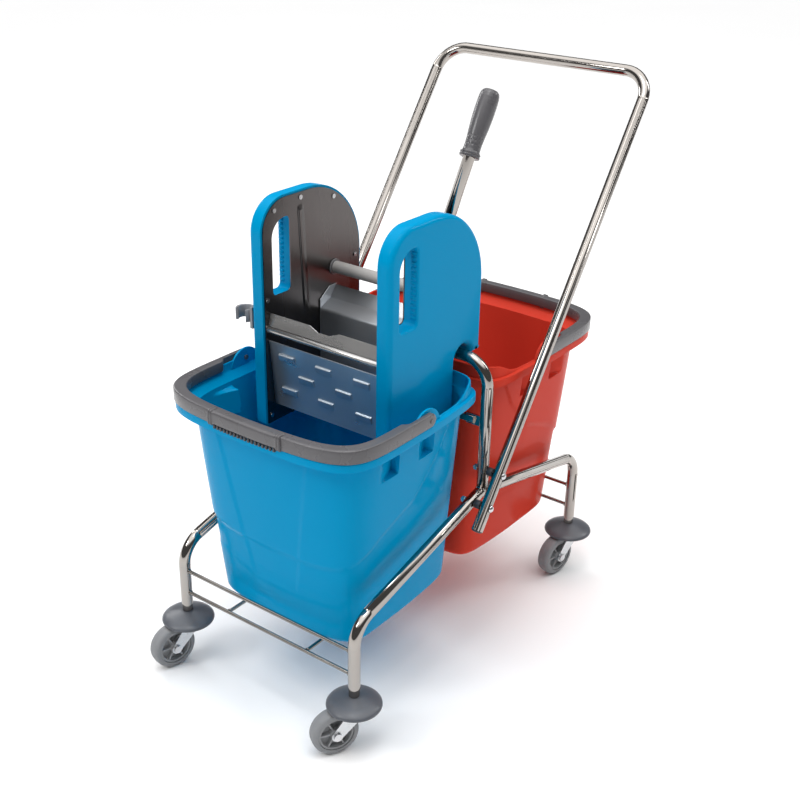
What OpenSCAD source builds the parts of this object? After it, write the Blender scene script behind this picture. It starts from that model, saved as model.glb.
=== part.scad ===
// Double mop bucket trolley: tube frame on four swivel casters, two buckets and a lever press wringer.
// Millimetres, Z up, floor at zero, the wringer end towards minus Y, the push handle towards plus Y.

/* [Casters] */
// wheel diameter
wheel_d = 75; // [60:1:90]
// tyre width
wheel_w = 24; // [18:1:28]
// horizontal distance from swivel axis to axle
trail = 32.5; // [28:0.5:36]
// axle bolt diameter
axle_d = 8; // [6:0.5:10]
// swivel pin diameter
stem_d = 13; // [11:0.5:14]
// bare length of the swivel pin above its bumper
stem_show = 13.5; // [6:0.5:20]
// fork plate thickness
fork_t = 2.5; // [2:0.5:4]
// bumper disc diameter
bumper_d = 86; // [78:1:96]
// heading of the front left caster, from plus X
heading_fl = -104; // [-180:1:180]
// heading of the front right caster
heading_fr = -120; // [-180:1:180]
// heading of the rear left caster
heading_rl = -110; // [-180:1:180]
// heading of the rear right caster
heading_rr = -100; // [-180:1:180]

/* [Tube frame] */
// frame tube diameter
tube_d = 19; // [17:0.5:22]
// tube wall thickness
tube_wall = 1.5; // [1:0.25:2.5]
// distance between the left and right legs
track = 354; // [345:1:380]
// distance between the front and rear legs
wheelbase = 637; // [600:1:680]
// distance of the centre hoop behind the middle of the wheelbase
hoop_back = 10; // [0:1:20]
// height of the front rail corner above the leg foot
front_leg = 107.7; // [95:0.5:125]
// height of the rear rail corner above the leg foot
rear_leg = 126.8; // [110:0.5:140]
// height of the rail peak above the leg foot
peak_rise = 194.5; // [175:0.5:205]
// bend radius between leg and rail
rail_bend_r = 45; // [30:1:55]
// bend radius at the rail peak
peak_bend_r = 60; // [40:1:80]
// height of the hoop top above the rail peak
hoop_h = 224; // [215:1:250]
// bend radius of the hoop corners
hoop_bend_r = 43; // [32:1:44]
// crossbar diameter
crossbar_d = 14; // [10:0.5:16]
// crossbar distance below the hoop top
crossbar_drop = 104; // [80:1:120]

/* [Wire rack] */
// rod diameter
rod_d = 6; // [5:0.5:8]
// height of the lower rods above the leg foot
rack_rise = 22.5; // [18:0.5:40]
// height of the upper stop rods above the lower ones
stop_h = 41.5; // [34:0.5:55]
// distance between the two rack rods
rack_pitch = 164; // [120:1:200]

/* [Push handle] */
// free space between hoop leg and handle tube
handle_gap = 10.4; // [9:0.2:14]
// lean of the handle from vertical
handle_lean = 35.6; // [30:0.2:38]
// height of the upper bolt above the rail peak
bolt_rise = 36.6; // [32:0.5:60]
// height of the handle top above the upper bolt
handle_rise = 571; // [500:1:640]
// length of the handle foot below the upper bolt
handle_foot = 95; // [85:1:120]
// bend radius of the handle corners
handle_bend_r = 48; // [35:1:70]
// bolt diameter
bolt_d = 6; // [5:0.5:8]

/* [Buckets] */
// clearance between bail and push handle
bail_play = 5.5; // [2:0.5:12]
// distance of the rim inner end from the hoop
rim_near = 15; // [13:0.5:18]
// reach of the rim beyond the base at the outer end
rim_over = 55; // [40:1:60]
// bow of the outer end at the rim
rim_bow = 12; // [0:1:18]
// narrowing of the inner end
near_taper = 0.06; // [0:0.01:0.12]
// half width of the base
base_half_w = 134; // [120:1:145]
// distance of the base inner end from the hoop
base_near = 20; // [16:0.5:26]
// clearance between the bucket base and the rear stop rods
stop_play = 8.5; // [6:0.5:20]
// distance of the flange top below the hoop axis
rim_below = 41.8; // [38:0.2:50]
// wall thickness
bucket_wall = 3; // [2:0.25:4]
// how far the flange stands out
flange_out = 7; // [4:0.5:8]
// flange height
flange_h = 14; // [8:1:20]
// height of the rim above the flange
rim_up = 12; // [6:0.5:15]
// height of the inner lip above the flange
lip_up = 20; // [10:0.5:22]
// distance of the bail pivot from the hoop
ear_from_hoop = 167; // [160:1:185]
// radius of an ear
ear_r = 22; // [18:0.5:24]
// thickness of an ear
ear_t = 4; // [3:0.5:6]
// pivot pin diameter
pivot_d = 8; // [6:0.5:10]

/* [Bails] */
// thickness of a bail arm
bail_t = 8; // [6:0.5:8.5]
// height of a bail
bail_h = 18.6; // [16:0.2:22]
// how far the bail top reaches inwards over the rim
bail_reach = 6.5; // [5:0.5:10]
// distance between the grip collars
grip_w = 131; // [100:1:150]
// thickness of the grip below the bail
grip_h = 7; // [4:0.5:10]

/* [Wringer] */
// free width between the steel liners
press_w = 217; // [200:1:225]
// liner sheet thickness
liner_t = 1.5; // [1:0.25:2.5]
// shell thickness
shell_t = 24.3; // [20:0.1:25]
// shell wall thickness
shell_wall = 3; // [2:0.25:4]
// inset of the liner from the shell edge
liner_inset = 4; // [3:0.5:8]
// front edge of the panel, in front of the hoop
panel_front = 196.3; // [188:0.5:205]
// rear edge of the panel, behind the hoop
panel_rear = 40; // [34:0.5:50]
// clearance between the panel and the bucket inner end
panel_play = 6; // [2:0.5:10]
// top of the panel above the hoop axis
panel_up = 244; // [225:1:260]
// bottom of the panel below the hoop axis
panel_down = 124.6; // [110:0.5:135]
// radius of the front top corner
front_corner_r = 54; // [40:1:70]
// radius of the rear top corner
rear_corner_r = 126; // [100:1:130]
// height of the shell notch above the hoop axis
notch_up = 19.5; // [15:0.5:30]
// height of the finger slot bottom above the hoop axis
slot_low = 90; // [80:1:100]
// distance from the finger slot to the panel top
slot_top_gap = 34; // [28:1:60]
// width of the finger slot
slot_w = 41; // [30:1:45]
// distance of the finger slot from the front edge
slot_edge = 23.3; // [20:0.5:32]
// rivet shank diameter
rivet_d = 3.2; // [2.5:0.1:4]
// distance of the rivets from the edge
rivet_in = 12; // [10:0.5:14]
// front tie bar diameter
tie_d = 10; // [8:0.5:12]
// press plate thickness
plate_t = 2; // [1.5:0.25:3]
// height of the lip plate
lip_h = 20; // [12:0.5:24]

/* [Press] */
// shaft height above the hoop axis
shaft_up = 99.7; // [96:0.5:115]
// shaft distance in front of the hoop
shaft_front = 27.5; // [22:0.5:34]
// shaft diameter
shaft_d = 20; // [16:0.5:22]
// shaft end diameter
shaft_end_d = 14; // [10:0.5:15]
// lever position across, from the middle
lever_x = 70.8; // [40:0.5:80]
// lever lean from vertical
lever_lean = 30.3; // [20:0.5:40]
// lever length from the shaft axis
lever_len = 322; // [280:1:360]
// grip length
lever_grip_l = 103; // [85:1:130]
// grip diameter
lever_grip_d = 28; // [25:0.5:32]
// jaw front face, in front of the hoop
jaw_front = 66; // [60:0.5:72]
// jaw bottom below the hoop axis
jaw_down = 95; // [80:0.5:100]
// jaw sheet thickness
jaw_t = 2; // [1.5:0.25:3]

/* [Fits] */
// running clearance on a radius
run_gap = 0.05; // [0.02:0.01:0.1]
// clearance between fixed pieces
seat_gap = 0.2; // [0.1:0.05:0.3]
// clearance between moving pieces
move_gap = 0.4; // [0.3:0.05:0.6]
// clearance of a bolt in its hole, on a radius
bolt_gap = 0.2; // [0.1:0.05:0.4]

/* [Hidden] */
$fn = 48;

steel = [0.75, 0.76, 0.78];
dark_steel = [0.45, 0.46, 0.48];
grey = [0.41, 0.4, 0.42];
dark_grey = [0.2, 0.2, 0.21];
blue = [0.0, 0.5, 0.75];
red = [0.8, 0.22, 0.18];

// Caster stack, from the floor to the foot of a leg.
wheel_r = wheel_d / 2;
crown_gap = 2;
crown_t = 4;
crown_z = wheel_d + crown_gap;
boss_h = 6;
boss_r = stem_d / 2 + 4.5;
bumper_z = crown_z + crown_t + boss_h + move_gap;
bumper_hub_h = 6.5;
foot_z = bumper_z + bumper_hub_h + stem_show + seat_gap;
fork_in = wheel_w / 2 + 1.5;
fork_out = fork_in + fork_t;
hub_half = fork_in - move_gap;
tread_depth = 9.5;
rim_r = wheel_r - tread_depth;
axle_head_r = axle_d / 2 + 2.5;
axle_head_h = 3.5;
eye_r = axle_d / 2 + 5;
crown_half = 15;
stem_head_r = stem_d / 2 + 3.5;
stem_head_h = 3;
stem_plug = 35;
casters = [[-1, -1, heading_fl], [1, -1, heading_fr], [-1, 1, heading_rl], [1, 1, heading_rr]];

// The middle of the overall length is the origin.
handle_run = handle_rise * tan(handle_lean);
rear_reach = hoop_back + handle_run + tube_d / 2;
function wheel_reach(a) = (trail + wheel_r) * abs(sin(a)) + wheel_w / 2 * abs(cos(a));
front_reach = wheelbase / 2 + max(bumper_d / 2, wheel_reach(heading_fl), wheel_reach(heading_fr));
mid_y = (front_reach - rear_reach) / 2;
hoop_y = mid_y + hoop_back;
front_y = mid_y - wheelbase / 2;
rear_y = mid_y + wheelbase / 2;
leg_x = track / 2;

// A bend laps into the straight ends on either side, a hair thinner than they are.
bend_lap = 0.6;
bend_ease = 0.03;

// Frame heights.
front_corner_z = foot_z + front_leg;
rear_corner_z = foot_z + rear_leg;
peak_z = foot_z + peak_rise;
hoop_z = peak_z + hoop_h;
crossbar_z = hoop_z - crossbar_drop;
lower_rod_z = foot_z + rack_rise;
upper_rod_z = lower_rod_z + stop_h;
rail_path = [[front_y, foot_z], [front_y, front_corner_z], [hoop_y, peak_z], [rear_y, rear_corner_z],
    [rear_y, foot_z]];
rail_radii = [0, rail_bend_r, peak_bend_r, rail_bend_r, 0];

// Push handle and its bolts.
handle_x = leg_x + tube_d + handle_gap;
bolt_z = peak_z + bolt_rise;
rail_slope = (peak_z - front_corner_z) / (hoop_y - front_y);
low_bolt_s = -bolt_rise / (cos(handle_lean) - rail_slope * sin(handle_lean));
bolt_spots = [[hoop_y, bolt_z],
    [hoop_y + low_bolt_s * sin(handle_lean), bolt_z + low_bolt_s * cos(handle_lean)]];
handle_top_s = handle_rise / cos(handle_lean);
bolt_hole_r = bolt_d / 2 + bolt_gap;
head_r = bolt_d / 2 + 3;
head_h = 3.6;
nut_h = 6;

// Buckets.
base_z = lower_rod_z + rod_d / 2 + seat_gap;
flange_z = hoop_z - rim_below;
bucket_h = flange_z - base_z;
ring_n = 96;
near_n = [7, 10];
far_n = [5, 8];
bail_in = move_gap;
bail_out = bail_in + bail_t;
rim_half_w = handle_x - tube_d / 2 - bail_play - bail_out;
base_len = wheelbase / 2 - hoop_back - rod_d / 2 - stop_play - base_near;
rim_len = base_near + base_len + rim_over - rim_near;
rim_mid = rim_near + rim_len / 2;
base_mid = base_near + base_len / 2;
base_round = 14;
floor_t = bucket_wall;
ear_x = rim_half_w;
ear_set = 0.6;
bail_z = flange_z + move_gap;
pivot_z = bail_z + bail_h / 2;
bail_top_t = 3.5;
bail_turns = 60;
bail_top_sink = 0.3;
bail_plate_from = 60;
grip_root = 3;
grip_out = 5;
collar_w = 9;
collar_out = 1;
pin_head = 2;

// Wringer, in a frame with its origin on the hoop axis.
panel_low_rear = base_near + bucket_wall + panel_play;
slot_h = panel_up - slot_top_gap - slot_low;
liner_x = press_w / 2;
shell_x = liner_x + liner_t + seat_gap;
shell_end = shell_x + shell_t;
front_c = [-panel_front + front_corner_r, panel_up - front_corner_r];
rear_c = [panel_rear - rear_corner_r, panel_up - rear_corner_r];
horn_low = -2;
notch_rear = 17;
notch_r = (panel_low_rear + notch_rear) / 2;
notch_mid = (notch_rear - panel_low_rear) / 2;
slot_v = -panel_front + slot_edge;
slot_corner_r = 8;
slot_flat = 2;
boss_wall = 3;
rivet_gap = 0.1;
rivet_hole_r = rivet_d / 2 + rivet_gap;
rivet_len = 10;
rivet_head_r = rivet_d + 0.6;
rivet_head_h = 1.4;
rivet_rear_angle = 59.8;
rivet_front_angle = 125.5;
rivet_spots = [
    [-panel_front + rivet_in, -panel_down + 1.4 * rivet_in],
    [-panel_front + rivet_in - 2, slot_low - 3],
    front_c + (front_corner_r - rivet_in) * [cos(rivet_front_angle), sin(rivet_front_angle)],
    [slot_v + slot_w + 25, panel_up - rivet_in],
    rear_c + (rear_corner_r - rivet_in) * [cos(rivet_rear_angle), sin(rivet_rear_angle)],
    [panel_rear - rivet_in - 3, rear_c[1] - 11]];
tie_spot = [-panel_front + tie_d / 2 + 4.5, slot_low - 50];
low_tie_d = 8;
low_tie_spot = [-panel_low_rear - 17, -panel_down + 14];
tie_end_d = 5;
tie_end_l = 9;
shaft_spot = [-shaft_front, shaft_up];
bush_wall = 2;
bush_r = shaft_end_d / 2 + run_gap + bush_wall;
bush_flange_r = bush_r + 4;
bush_flange_t = 3;
bush_l = 12;
plate_gap = 14;
plate_edge = 11.3;
plate_lean = 11;
plate_foot = 34.6;
plate_top = [-panel_front + plate_edge, tie_spot[1] - tie_d / 2 - plate_gap];
plate_low = [-panel_front + plate_edge + plate_lean, -panel_down + plate_foot];
bar_pitch = 74;
bar_l = 30;
bar_d = 7;
bar_rows = [0.2, 0.46, 0.72];
dip_w = 57;
dip_low_w = 22;
dip_h = 7;
lip_t = 1.5;
lip_lean = 17;
clip_r = 15;
clip_in_r = 10.5;
clip_h = 20;
clip_up = 46;
clip_base_t = 5;
clip_v = -panel_front + 8;
clip_x = -shell_end - seat_gap - clip_base_t - clip_r;
clip_mouth = 45;
clip_head = 5;
clip_tail = 10;
screw_d = 4;
screw_drop = 5;

// Press, in the same frame.
arm_t = 5;
arm_foot = 36;
arm_in = tube_d / 2 + 1;
cheek_t = 1.5;
cheek_slope = 18;
cheek_front = 15;
cheek_x = liner_x - 1 - cheek_t;
jaw_half = cheek_x - seat_gap;
jaw_depth = 26;
jaw_back = 40;
jaw_top = shaft_up - shaft_d / 2 - 20.7;
jaw_step = jaw_top - 19;
jaw_shelf = jaw_step - 11;
jaw_rivet_up = jaw_shelf - 27;
jaw_path = [[-jaw_front + jaw_depth, -jaw_down], [-jaw_front + jaw_t / 2, -jaw_down],
    [-jaw_front + jaw_t / 2, jaw_shelf], [-jaw_front + jaw_depth, jaw_step],
    [-jaw_front + jaw_back, jaw_top]];
shaft_half = liner_x - bush_flange_t - move_gap;
grip_s = lever_len - lever_grip_l;
cap_t = 10;

function way(a, b) = atan2(b[1] - a[1], b[0] - a[0]);
function across(a, b) = [a[1] - b[1], b[0] - a[0]] / norm(b - a);
function mid_way(m, n) = (m + n) / (1 + m * n);
function mitre(p, i) =
    i == 0 ? across(p[0], p[1]) :
    i == len(p) - 1 ? across(p[i - 1], p[i]) :
    mid_way(across(p[i - 1], p[i]), across(p[i], p[i + 1]));
function wrap(t) = t > 180 ? t - 360 : t < -180 ? t + 360 : t;
function turn_at(p, i) = wrap(way(p[i], p[i + 1]) - way(p[i - 1], p[i]));
function setback(p, r, i) = i == 0 || i == len(p) - 1 ? 0 : r[i] * tan(abs(turn_at(p, i)) / 2);

// A tube or rod bent along a flat path, with a radius at every corner.
module bent_tube(p, r, d, wall) {
    for (i = [0:len(p) - 2]) {
        a = way(p[i], p[i + 1]);
        back = setback(p, r, i);
        run = norm(p[i + 1] - p[i]) - back - setback(p, r, i + 1);
        translate([p[i][0] + back * cos(a), p[i][1] + back * sin(a), 0])
            rotate([0, 0, a])
                rotate([0, 90, 0])
                    linear_extrude(run) tube_section(d, wall);
    }
    for (i = [1:len(p) - 2]) {
        turn = turn_at(p, i);
        a = way(p[i - 1], p[i]);
        hand = sign(turn);
        start = p[i] - setback(p, r, i) * [cos(a), sin(a)];
        centre = start + hand * r[i] * [-sin(a), cos(a)];
        lap = bend_lap / r[i] * 180 / PI;
        translate([centre[0], centre[1], 0])
            rotate([0, 0, (hand > 0 ? a - 90 : a + 90 + turn) - lap])
                rotate_extrude(angle = abs(turn) + 2 * lap, $fn = 96)
                    translate([r[i], 0])
                        tube_section(d - 2 * bend_ease, wall > 0 ? wall - 2 * bend_ease : 0);
    }
}

module tube_section(d, wall) {
    difference() {
        circle(d = d);
        if (wall > 0) circle(d = d - 2 * wall);
    }
}

// A round bar along X, from x0 to x1, at the given side view spot.
module bar_x(x0, x1, spot, r) {
    translate([x0, spot[0], spot[1]])
        rotate([0, 90, 0])
            cylinder(r = r, h = x1 - x0);
}

module rail_tube(side, d, wall) {
    translate([side * leg_x, 0, 0])
        rotate([90, 0, 90])
            bent_tube(rail_path, rail_radii, d, wall);
}

module rail(side) {
    color(steel)
        difference() {
            rail_tube(side, tube_d, tube_wall);
            bar_x(side * leg_x - tube_d, side * leg_x + tube_d, bolt_spots[1], bolt_hole_r);
        }
}

module left_rail() rail(-1);

module right_rail() rail(1);

module centre_hoop() {
    path = [[-leg_x, peak_z], [-leg_x, hoop_z], [leg_x, hoop_z], [leg_x, peak_z]];
    color(steel)
        difference() {
            translate([0, hoop_y, 0])
                rotate([90, 0, 0])
                    bent_tube(path, [0, hoop_bend_r, hoop_bend_r, 0], tube_d, tube_wall);
            for (side = [-1, 1]) {
                rail_tube(side, tube_d + 2 * seat_gap, 0);
                bar_x(side * leg_x - tube_d, side * leg_x + tube_d, bolt_spots[0], bolt_hole_r);
            }
        }
}

// Round bar with a flat blade at each end against the hoop legs.
module hoop_crossbar() {
    half = leg_x - tube_d / 2 - seat_gap;
    blade = [26, 4, 1.25 * crossbar_d];
    bare = 10;
    color(steel) {
        bar_x(-half + bare, half - bare, [hoop_y, crossbar_z], crossbar_d / 2);
        for (side = [-1, 1])
            translate([side * (half - blade[0] / 2), hoop_y, crossbar_z]) cube(blade, center = true);
    }
}

// Two straight rods between the legs that keep a bucket on the rack.
module stop_rods(y) {
    half = leg_x - tube_d / 2 - seat_gap;
    color(steel)
        for (z = [lower_rod_z, upper_rod_z])
            bar_x(-half, half, [y, z], rod_d / 2);
}

module front_stop_rods() stop_rods(front_y);

module rear_stop_rods() stop_rods(rear_y);

module rack_rods() {
    rod_l = wheelbase - rod_d - 2 * seat_gap;
    color(steel)
        for (side = [-1, 1])
            translate([side * rack_pitch / 2, mid_y + rod_l / 2, lower_rod_z])
                rotate([90, 0, 0])
                    cylinder(d = rod_d, h = rod_l);
}

module push_handle() {
    path = [[-handle_x, -handle_foot], [-handle_x, handle_top_s], [handle_x, handle_top_s],
        [handle_x, -handle_foot]];
    color(steel)
        difference() {
            translate([0, hoop_y, bolt_z])
                rotate([90 - handle_lean, 0, 0])
                    bent_tube(path, [0, handle_bend_r, handle_bend_r, 0], tube_d, tube_wall);
            for (side = [-1, 1], spot = bolt_spots)
                bar_x(side * handle_x - tube_d, side * handle_x + tube_d, spot, bolt_hole_r);
        }
}

// Sleeves that hold the handle clear of the frame.
module handle_spacers() {
    x0 = leg_x + tube_d / 2 + seat_gap;
    x1 = handle_x - tube_d / 2 - seat_gap;
    color(dark_grey)
        for (side = [0, 1], spot = bolt_spots)
            mirror([side, 0, 0])
                difference() {
                    bar_x(x0, x1, spot, bolt_d + 1);
                    bar_x(x0 - 1, x1 + 1, spot, bolt_hole_r);
                }
}

module handle_bolts() {
    x0 = leg_x - tube_d / 2 - seat_gap - nut_h - 2;
    x1 = handle_x + tube_d / 2 + seat_gap;
    cap_r = (head_r * head_r + head_h * head_h) / (2 * head_h);
    color(steel)
        for (side = [0, 1], spot = bolt_spots)
            mirror([side, 0, 0]) {
                bar_x(x0, x1 + 1, spot, bolt_d / 2);
                translate([x1, spot[0], spot[1]])
                    rotate([0, 90, 0])
                        rotate_extrude($fn = 96)
                            intersection() {
                                translate([0, head_h - cap_r]) circle(r = cap_r);
                                square([head_r, head_h]);
                            }
            }
}

module handle_nuts() {
    x1 = leg_x - tube_d / 2 - seat_gap;
    color(steel)
        for (side = [0, 1], spot = bolt_spots)
            mirror([side, 0, 0])
                difference() {
                    translate([x1 - nut_h, spot[0], spot[1]])
                        rotate([0, 90, 0])
                            cylinder(r = 0.95 * bolt_d, h = nut_h, $fn = 6);
                    bar_x(x1 - nut_h - 1, x1 + 1, spot, bolt_d / 2 + run_gap);
                }
}

// Puts a caster piece at its leg, turned to its heading.
module at_caster(i) {
    translate([casters[i][0] * leg_x, mid_y + casters[i][1] * wheelbase / 2, 0])
        rotate([0, 0, casters[i][2]])
            children();
}

// Pin that the fork swivels on, with its plug in the leg tube.
module caster_stems() {
    head_z = crown_z - move_gap - stem_head_h;
    plug_r = tube_d / 2 - tube_wall - seat_gap;
    color(dark_steel)
        for (i = [0:3])
            at_caster(i) {
                translate([0, 0, head_z]) cylinder(r = stem_head_r, h = stem_head_h);
                translate([0, 0, head_z]) cylinder(d = stem_d, h = foot_z - head_z + 1);
                translate([0, 0, foot_z]) cylinder(r = plug_r, h = stem_plug);
            }
}

// Domed disc, hollow underneath, that guards the caster.
module bumper(i) {
    rim = bumper_d / 2;
    hole = stem_d / 2 + seat_gap;
    neck = stem_d / 2 + 3;
    skin = 2.6;
    rim_drop = 10.5;
    top = bumper_z + bumper_hub_h;
    profile = [[hole, top], [neck, top], [neck + 4, top - 1.2],
        [0.5 * rim, bumper_z + 3], [0.8 * rim, bumper_z - 1.3], [rim - 1.5, bumper_z - 5],
        [rim, bumper_z - 7], [rim, bumper_z - rim_drop + 1], [rim - 1, bumper_z - rim_drop],
        [rim - skin, bumper_z - rim_drop], [rim - skin - 0.6, bumper_z - 7.5],
        [0.78 * rim, bumper_z - 4], [0.48 * rim, bumper_z - 0.5], [boss_r + 3, bumper_z],
        [hole, bumper_z]];
    color(grey)
        at_caster(i)
            rotate_extrude($fn = 72) polygon(profile);
}

module bumper_fl() bumper(0);

module bumper_fr() bumper(1);

module bumper_rl() bumper(2);

module bumper_rr() bumper(3);

// Two round ends joined by their outer tangents.
module link_2d(a, ra, b, rb) {
    gap = norm(b - a);
    w = way(a, b);
    lean = acos((ra - rb) / gap);
    translate(a) circle(r = ra);
    translate(b) circle(r = rb);
    polygon([a + ra * [cos(w + lean), sin(w + lean)], b + rb * [cos(w + lean), sin(w + lean)],
        b + rb * [cos(w - lean), sin(w - lean)], a + ra * [cos(w - lean), sin(w - lean)]]);
}

// Pressed steel fork: crown with swivel boss and two plates down to the axle.
module fork(i) {
    axle = [trail, wheel_r];
    knee = [3, crown_z - crown_half / 2];
    knee_r = crown_half - 2.5;
    color(steel)
        at_caster(i)
            difference() {
                union() {
                    translate([-crown_half, -fork_out, crown_z])
                        cube([2 * crown_half + 1, 2 * fork_out, crown_t]);
                    cylinder_at_crown();
                    for (side = [0, 1])
                        mirror([0, side, 0])
                            translate([0, fork_out, 0])
                                rotate([90, 0, 0])
                                    linear_extrude(fork_t)
                                        difference() {
                                            union() {
                                                link_2d(knee, knee_r, axle, eye_r);
                                                translate([knee[0] - knee_r, knee[1]])
                                                    square([2 * knee_r, crown_z + 1 - knee[1]]);
                                            }
                                            translate(axle) circle(r = axle_d / 2 + run_gap);
                                        }
                }
                translate([0, 0, crown_z - 1])
                    cylinder(d = stem_d + 2 * run_gap, h = crown_t + boss_h + 2);
            }
}

module cylinder_at_crown() {
    translate([0, 0, crown_z]) cylinder(r = boss_r, h = crown_t + boss_h);
}

module fork_fl() fork(0);

module fork_fr() fork(1);

module fork_rl() fork(2);

module fork_rr() fork(3);

// Places a piece that turns about the axle, its own axis along Z.
module on_axle(i) {
    at_caster(i)
        translate([trail, 0, wheel_r])
            rotate([90, 0, 0])
                children();
}

// Axle bolt with a round head at each end.
module axle(i) {
    half = fork_out + seat_gap;
    color(dark_steel)
        on_axle(i) {
            cylinder(d = axle_d, h = 2 * half + 2, center = true);
            for (side = [0, 1])
                mirror([0, 0, side])
                    translate([0, 0, half]) cylinder(r = axle_head_r, h = axle_head_h);
        }
}

module axle_fl() axle(0);

module axle_fr() axle(1);

module axle_rl() axle(2);

module axle_rr() axle(3);

// Moulded wheel centre: hub, web, ribs and rim.
module hub(i) {
    rim_w = 0.86 * wheel_w;
    rim_t = 3.5;
    web_t = 4;
    rib_t = 3;
    ribs = 6;
    hub_r = axle_d / 2 + 5;
    color(grey)
        on_axle(i)
            difference() {
                union() {
                    cylinder(r = hub_r, h = 2 * hub_half, center = true);
                    cylinder(r = rim_r - 1, h = web_t, center = true);
                    difference() {
                        cylinder(r = rim_r, h = rim_w, center = true);
                        cylinder(r = rim_r - rim_t, h = rim_w + 1, center = true);
                    }
                    for (k = [0:ribs - 1])
                        rotate([0, 0, k * 360 / ribs])
                            translate([hub_r - 1, -rib_t / 2, -0.36 * wheel_w])
                                cube([rim_r - rim_t / 2 - hub_r + 1, rib_t, 0.72 * wheel_w]);
                }
                cylinder(r = axle_d / 2 + run_gap, h = 2 * hub_half + 1, center = true);
            }
}

module hub_fl() hub(0);

module hub_fr() hub(1);

module hub_rl() hub(2);

module hub_rr() hub(3);

// Rubber tyre with round shoulders.
module tyre(i) {
    half = wheel_w / 2;
    round = tread_depth / 2 - seat_gap;
    color(dark_grey)
        on_axle(i)
            rotate_extrude($fn = 72) {
                translate([rim_r + seat_gap, -half])
                    square([tread_depth - round - seat_gap, wheel_w]);
                translate([rim_r + 1, -half + round])
                    square([tread_depth - 1, wheel_w - 2 * round]);
                for (side = [-1, 1])
                    translate([wheel_r - round, side * (half - round)]) circle(r = round);
            }
}

module tyre_fl() tyre(0);

module tyre_fr() tyre(1);

module tyre_rl() tyre(2);

module tyre_rr() tyre(3);

// Bucket outline at a height share h (0 base, 1 rim), pushed out by grow, at angle a.
function mix(a, b, t) = a + (b - a) * t;
function blunt(a, w, l, n) = pow(pow(abs(cos(a)) / w, n) + pow(abs(sin(a)) / l, n), -1 / n);
function ring_point(a, h, grow) =
    let (
        w = mix(base_half_w, rim_half_w, h) + grow,
        l = mix(base_len, rim_len, h) / 2 + grow,
        n = sin(a) < 0 ? mix(near_n[0], near_n[1], h) : mix(far_n[0], far_n[1], h),
        r = blunt(a, w, l, n),
        x = r * cos(a),
        d = r * sin(a),
        near = max(0, -d / l),
        far = max(0, d / l),
        bow = rim_bow * (1 - pow(x / w, 2)) * far
    )
    [x * (1 - near_taper * pow(near, 1.5)), mix(base_mid, rim_mid, h) + d + bow - rim_bow * far];
function rim_height(d) =
    let (t = (d - rim_near) / rim_len)
    t < 0.06 ? lip_up : t < 0.2 ? mix(lip_up, 2, (t - 0.06) / 0.14) : t < 0.36 ? 2
        : t < 0.46 ? mix(2, rim_up, (t - 0.36) / 0.1) : rim_up;
function ring(h, grow, z) = [for (i = [0:ring_n - 1])
    let (p = ring_point(i * 360 / ring_n, h, grow)) [p[0], p[1], z]];
function rim_ring(grow) = [for (i = [0:ring_n - 1])
    let (p = ring_point(i * 360 / ring_n, 1, grow)) [p[0], p[1], flange_z + rim_height(p[1])]];
function share(z) = (z - base_z) / bucket_h;
function wall_ring(grow, z) = ring(share(z), grow, z);

// Closed skin over a stack of rings, first ring facing down, last ring facing up.
function stack_faces(rings, n) = concat(
    [[for (i = [0:n - 1]) i]],
    [for (k = [0:rings - 2], i = [0:n - 1], half = [0, 1])
        let (j = (i + 1) % n)
        half == 0 ? [k * n + i, (k + 1) * n + i, (k + 1) * n + j] :
            [k * n + i, (k + 1) * n + j, k * n + j]],
    [[for (i = [n - 1:-1:0]) (rings - 1) * n + i]]);

module ring_stack(rings, n) {
    polyhedron(points = [for (r = rings, p = r) p], faces = stack_faces(len(rings), n));
}

// Tapered bucket with base fillet, flange, stepped rim, lip and two ears.
module bucket_body() {
    w = bucket_wall;
    low = flange_z - flange_h;
    rings = [
        wall_ring(-base_round, base_z),
        wall_ring(-0.5 * base_round, base_z + 0.13 * base_round),
        wall_ring(-0.13 * base_round, base_z + 0.5 * base_round),
        wall_ring(0, base_z + base_round),
        wall_ring(0, low),
        wall_ring(flange_out, low),
        ring(1, flange_out, flange_z),
        ring(1, 0, flange_z),
        rim_ring(0),
        rim_ring(-w),
        ring(1, -w, flange_z),
        wall_ring(-w, base_z + base_round + floor_t),
        wall_ring(-w - 0.13 * base_round, base_z + 0.5 * base_round + floor_t),
        wall_ring(-w - 0.5 * base_round, base_z + 0.13 * base_round + floor_t),
        wall_ring(-w - base_round, base_z + floor_t)];
    difference() {
        union() {
            ring_stack(rings, ring_n);
            for (side = [0, 1])
                mirror([side, 0, 0]) ear();
        }
        bar_x(-2 * rim_half_w, 2 * rim_half_w, [ear_from_hoop, pivot_z], pivot_d / 2 + run_gap);
    }
}

// Half disc on the rim that carries the bail pin.
module ear() {
    x0 = ear_x - ear_t - ear_set;
    difference() {
        bar_x(x0, x0 + ear_t, [ear_from_hoop, flange_z], ear_r);
        translate([x0 - 1, ear_from_hoop - 2 * ear_r, flange_z - 2 * ear_r - 1])
            cube([ear_t + 2, 4 * ear_r, 2 * ear_r]);
    }
}

// Bail cross sections at angle a: the upright arm outside the rim, and the top plate over the rim.
function bail_box(a, near, far, low, high) =
    let (p = ring_point(a, 1, near), q = ring_point(a, 1, far))
    [[p[0], p[1], low], [p[0], p[1], high], [q[0], q[1], high], [q[0], q[1], low]];

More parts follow.
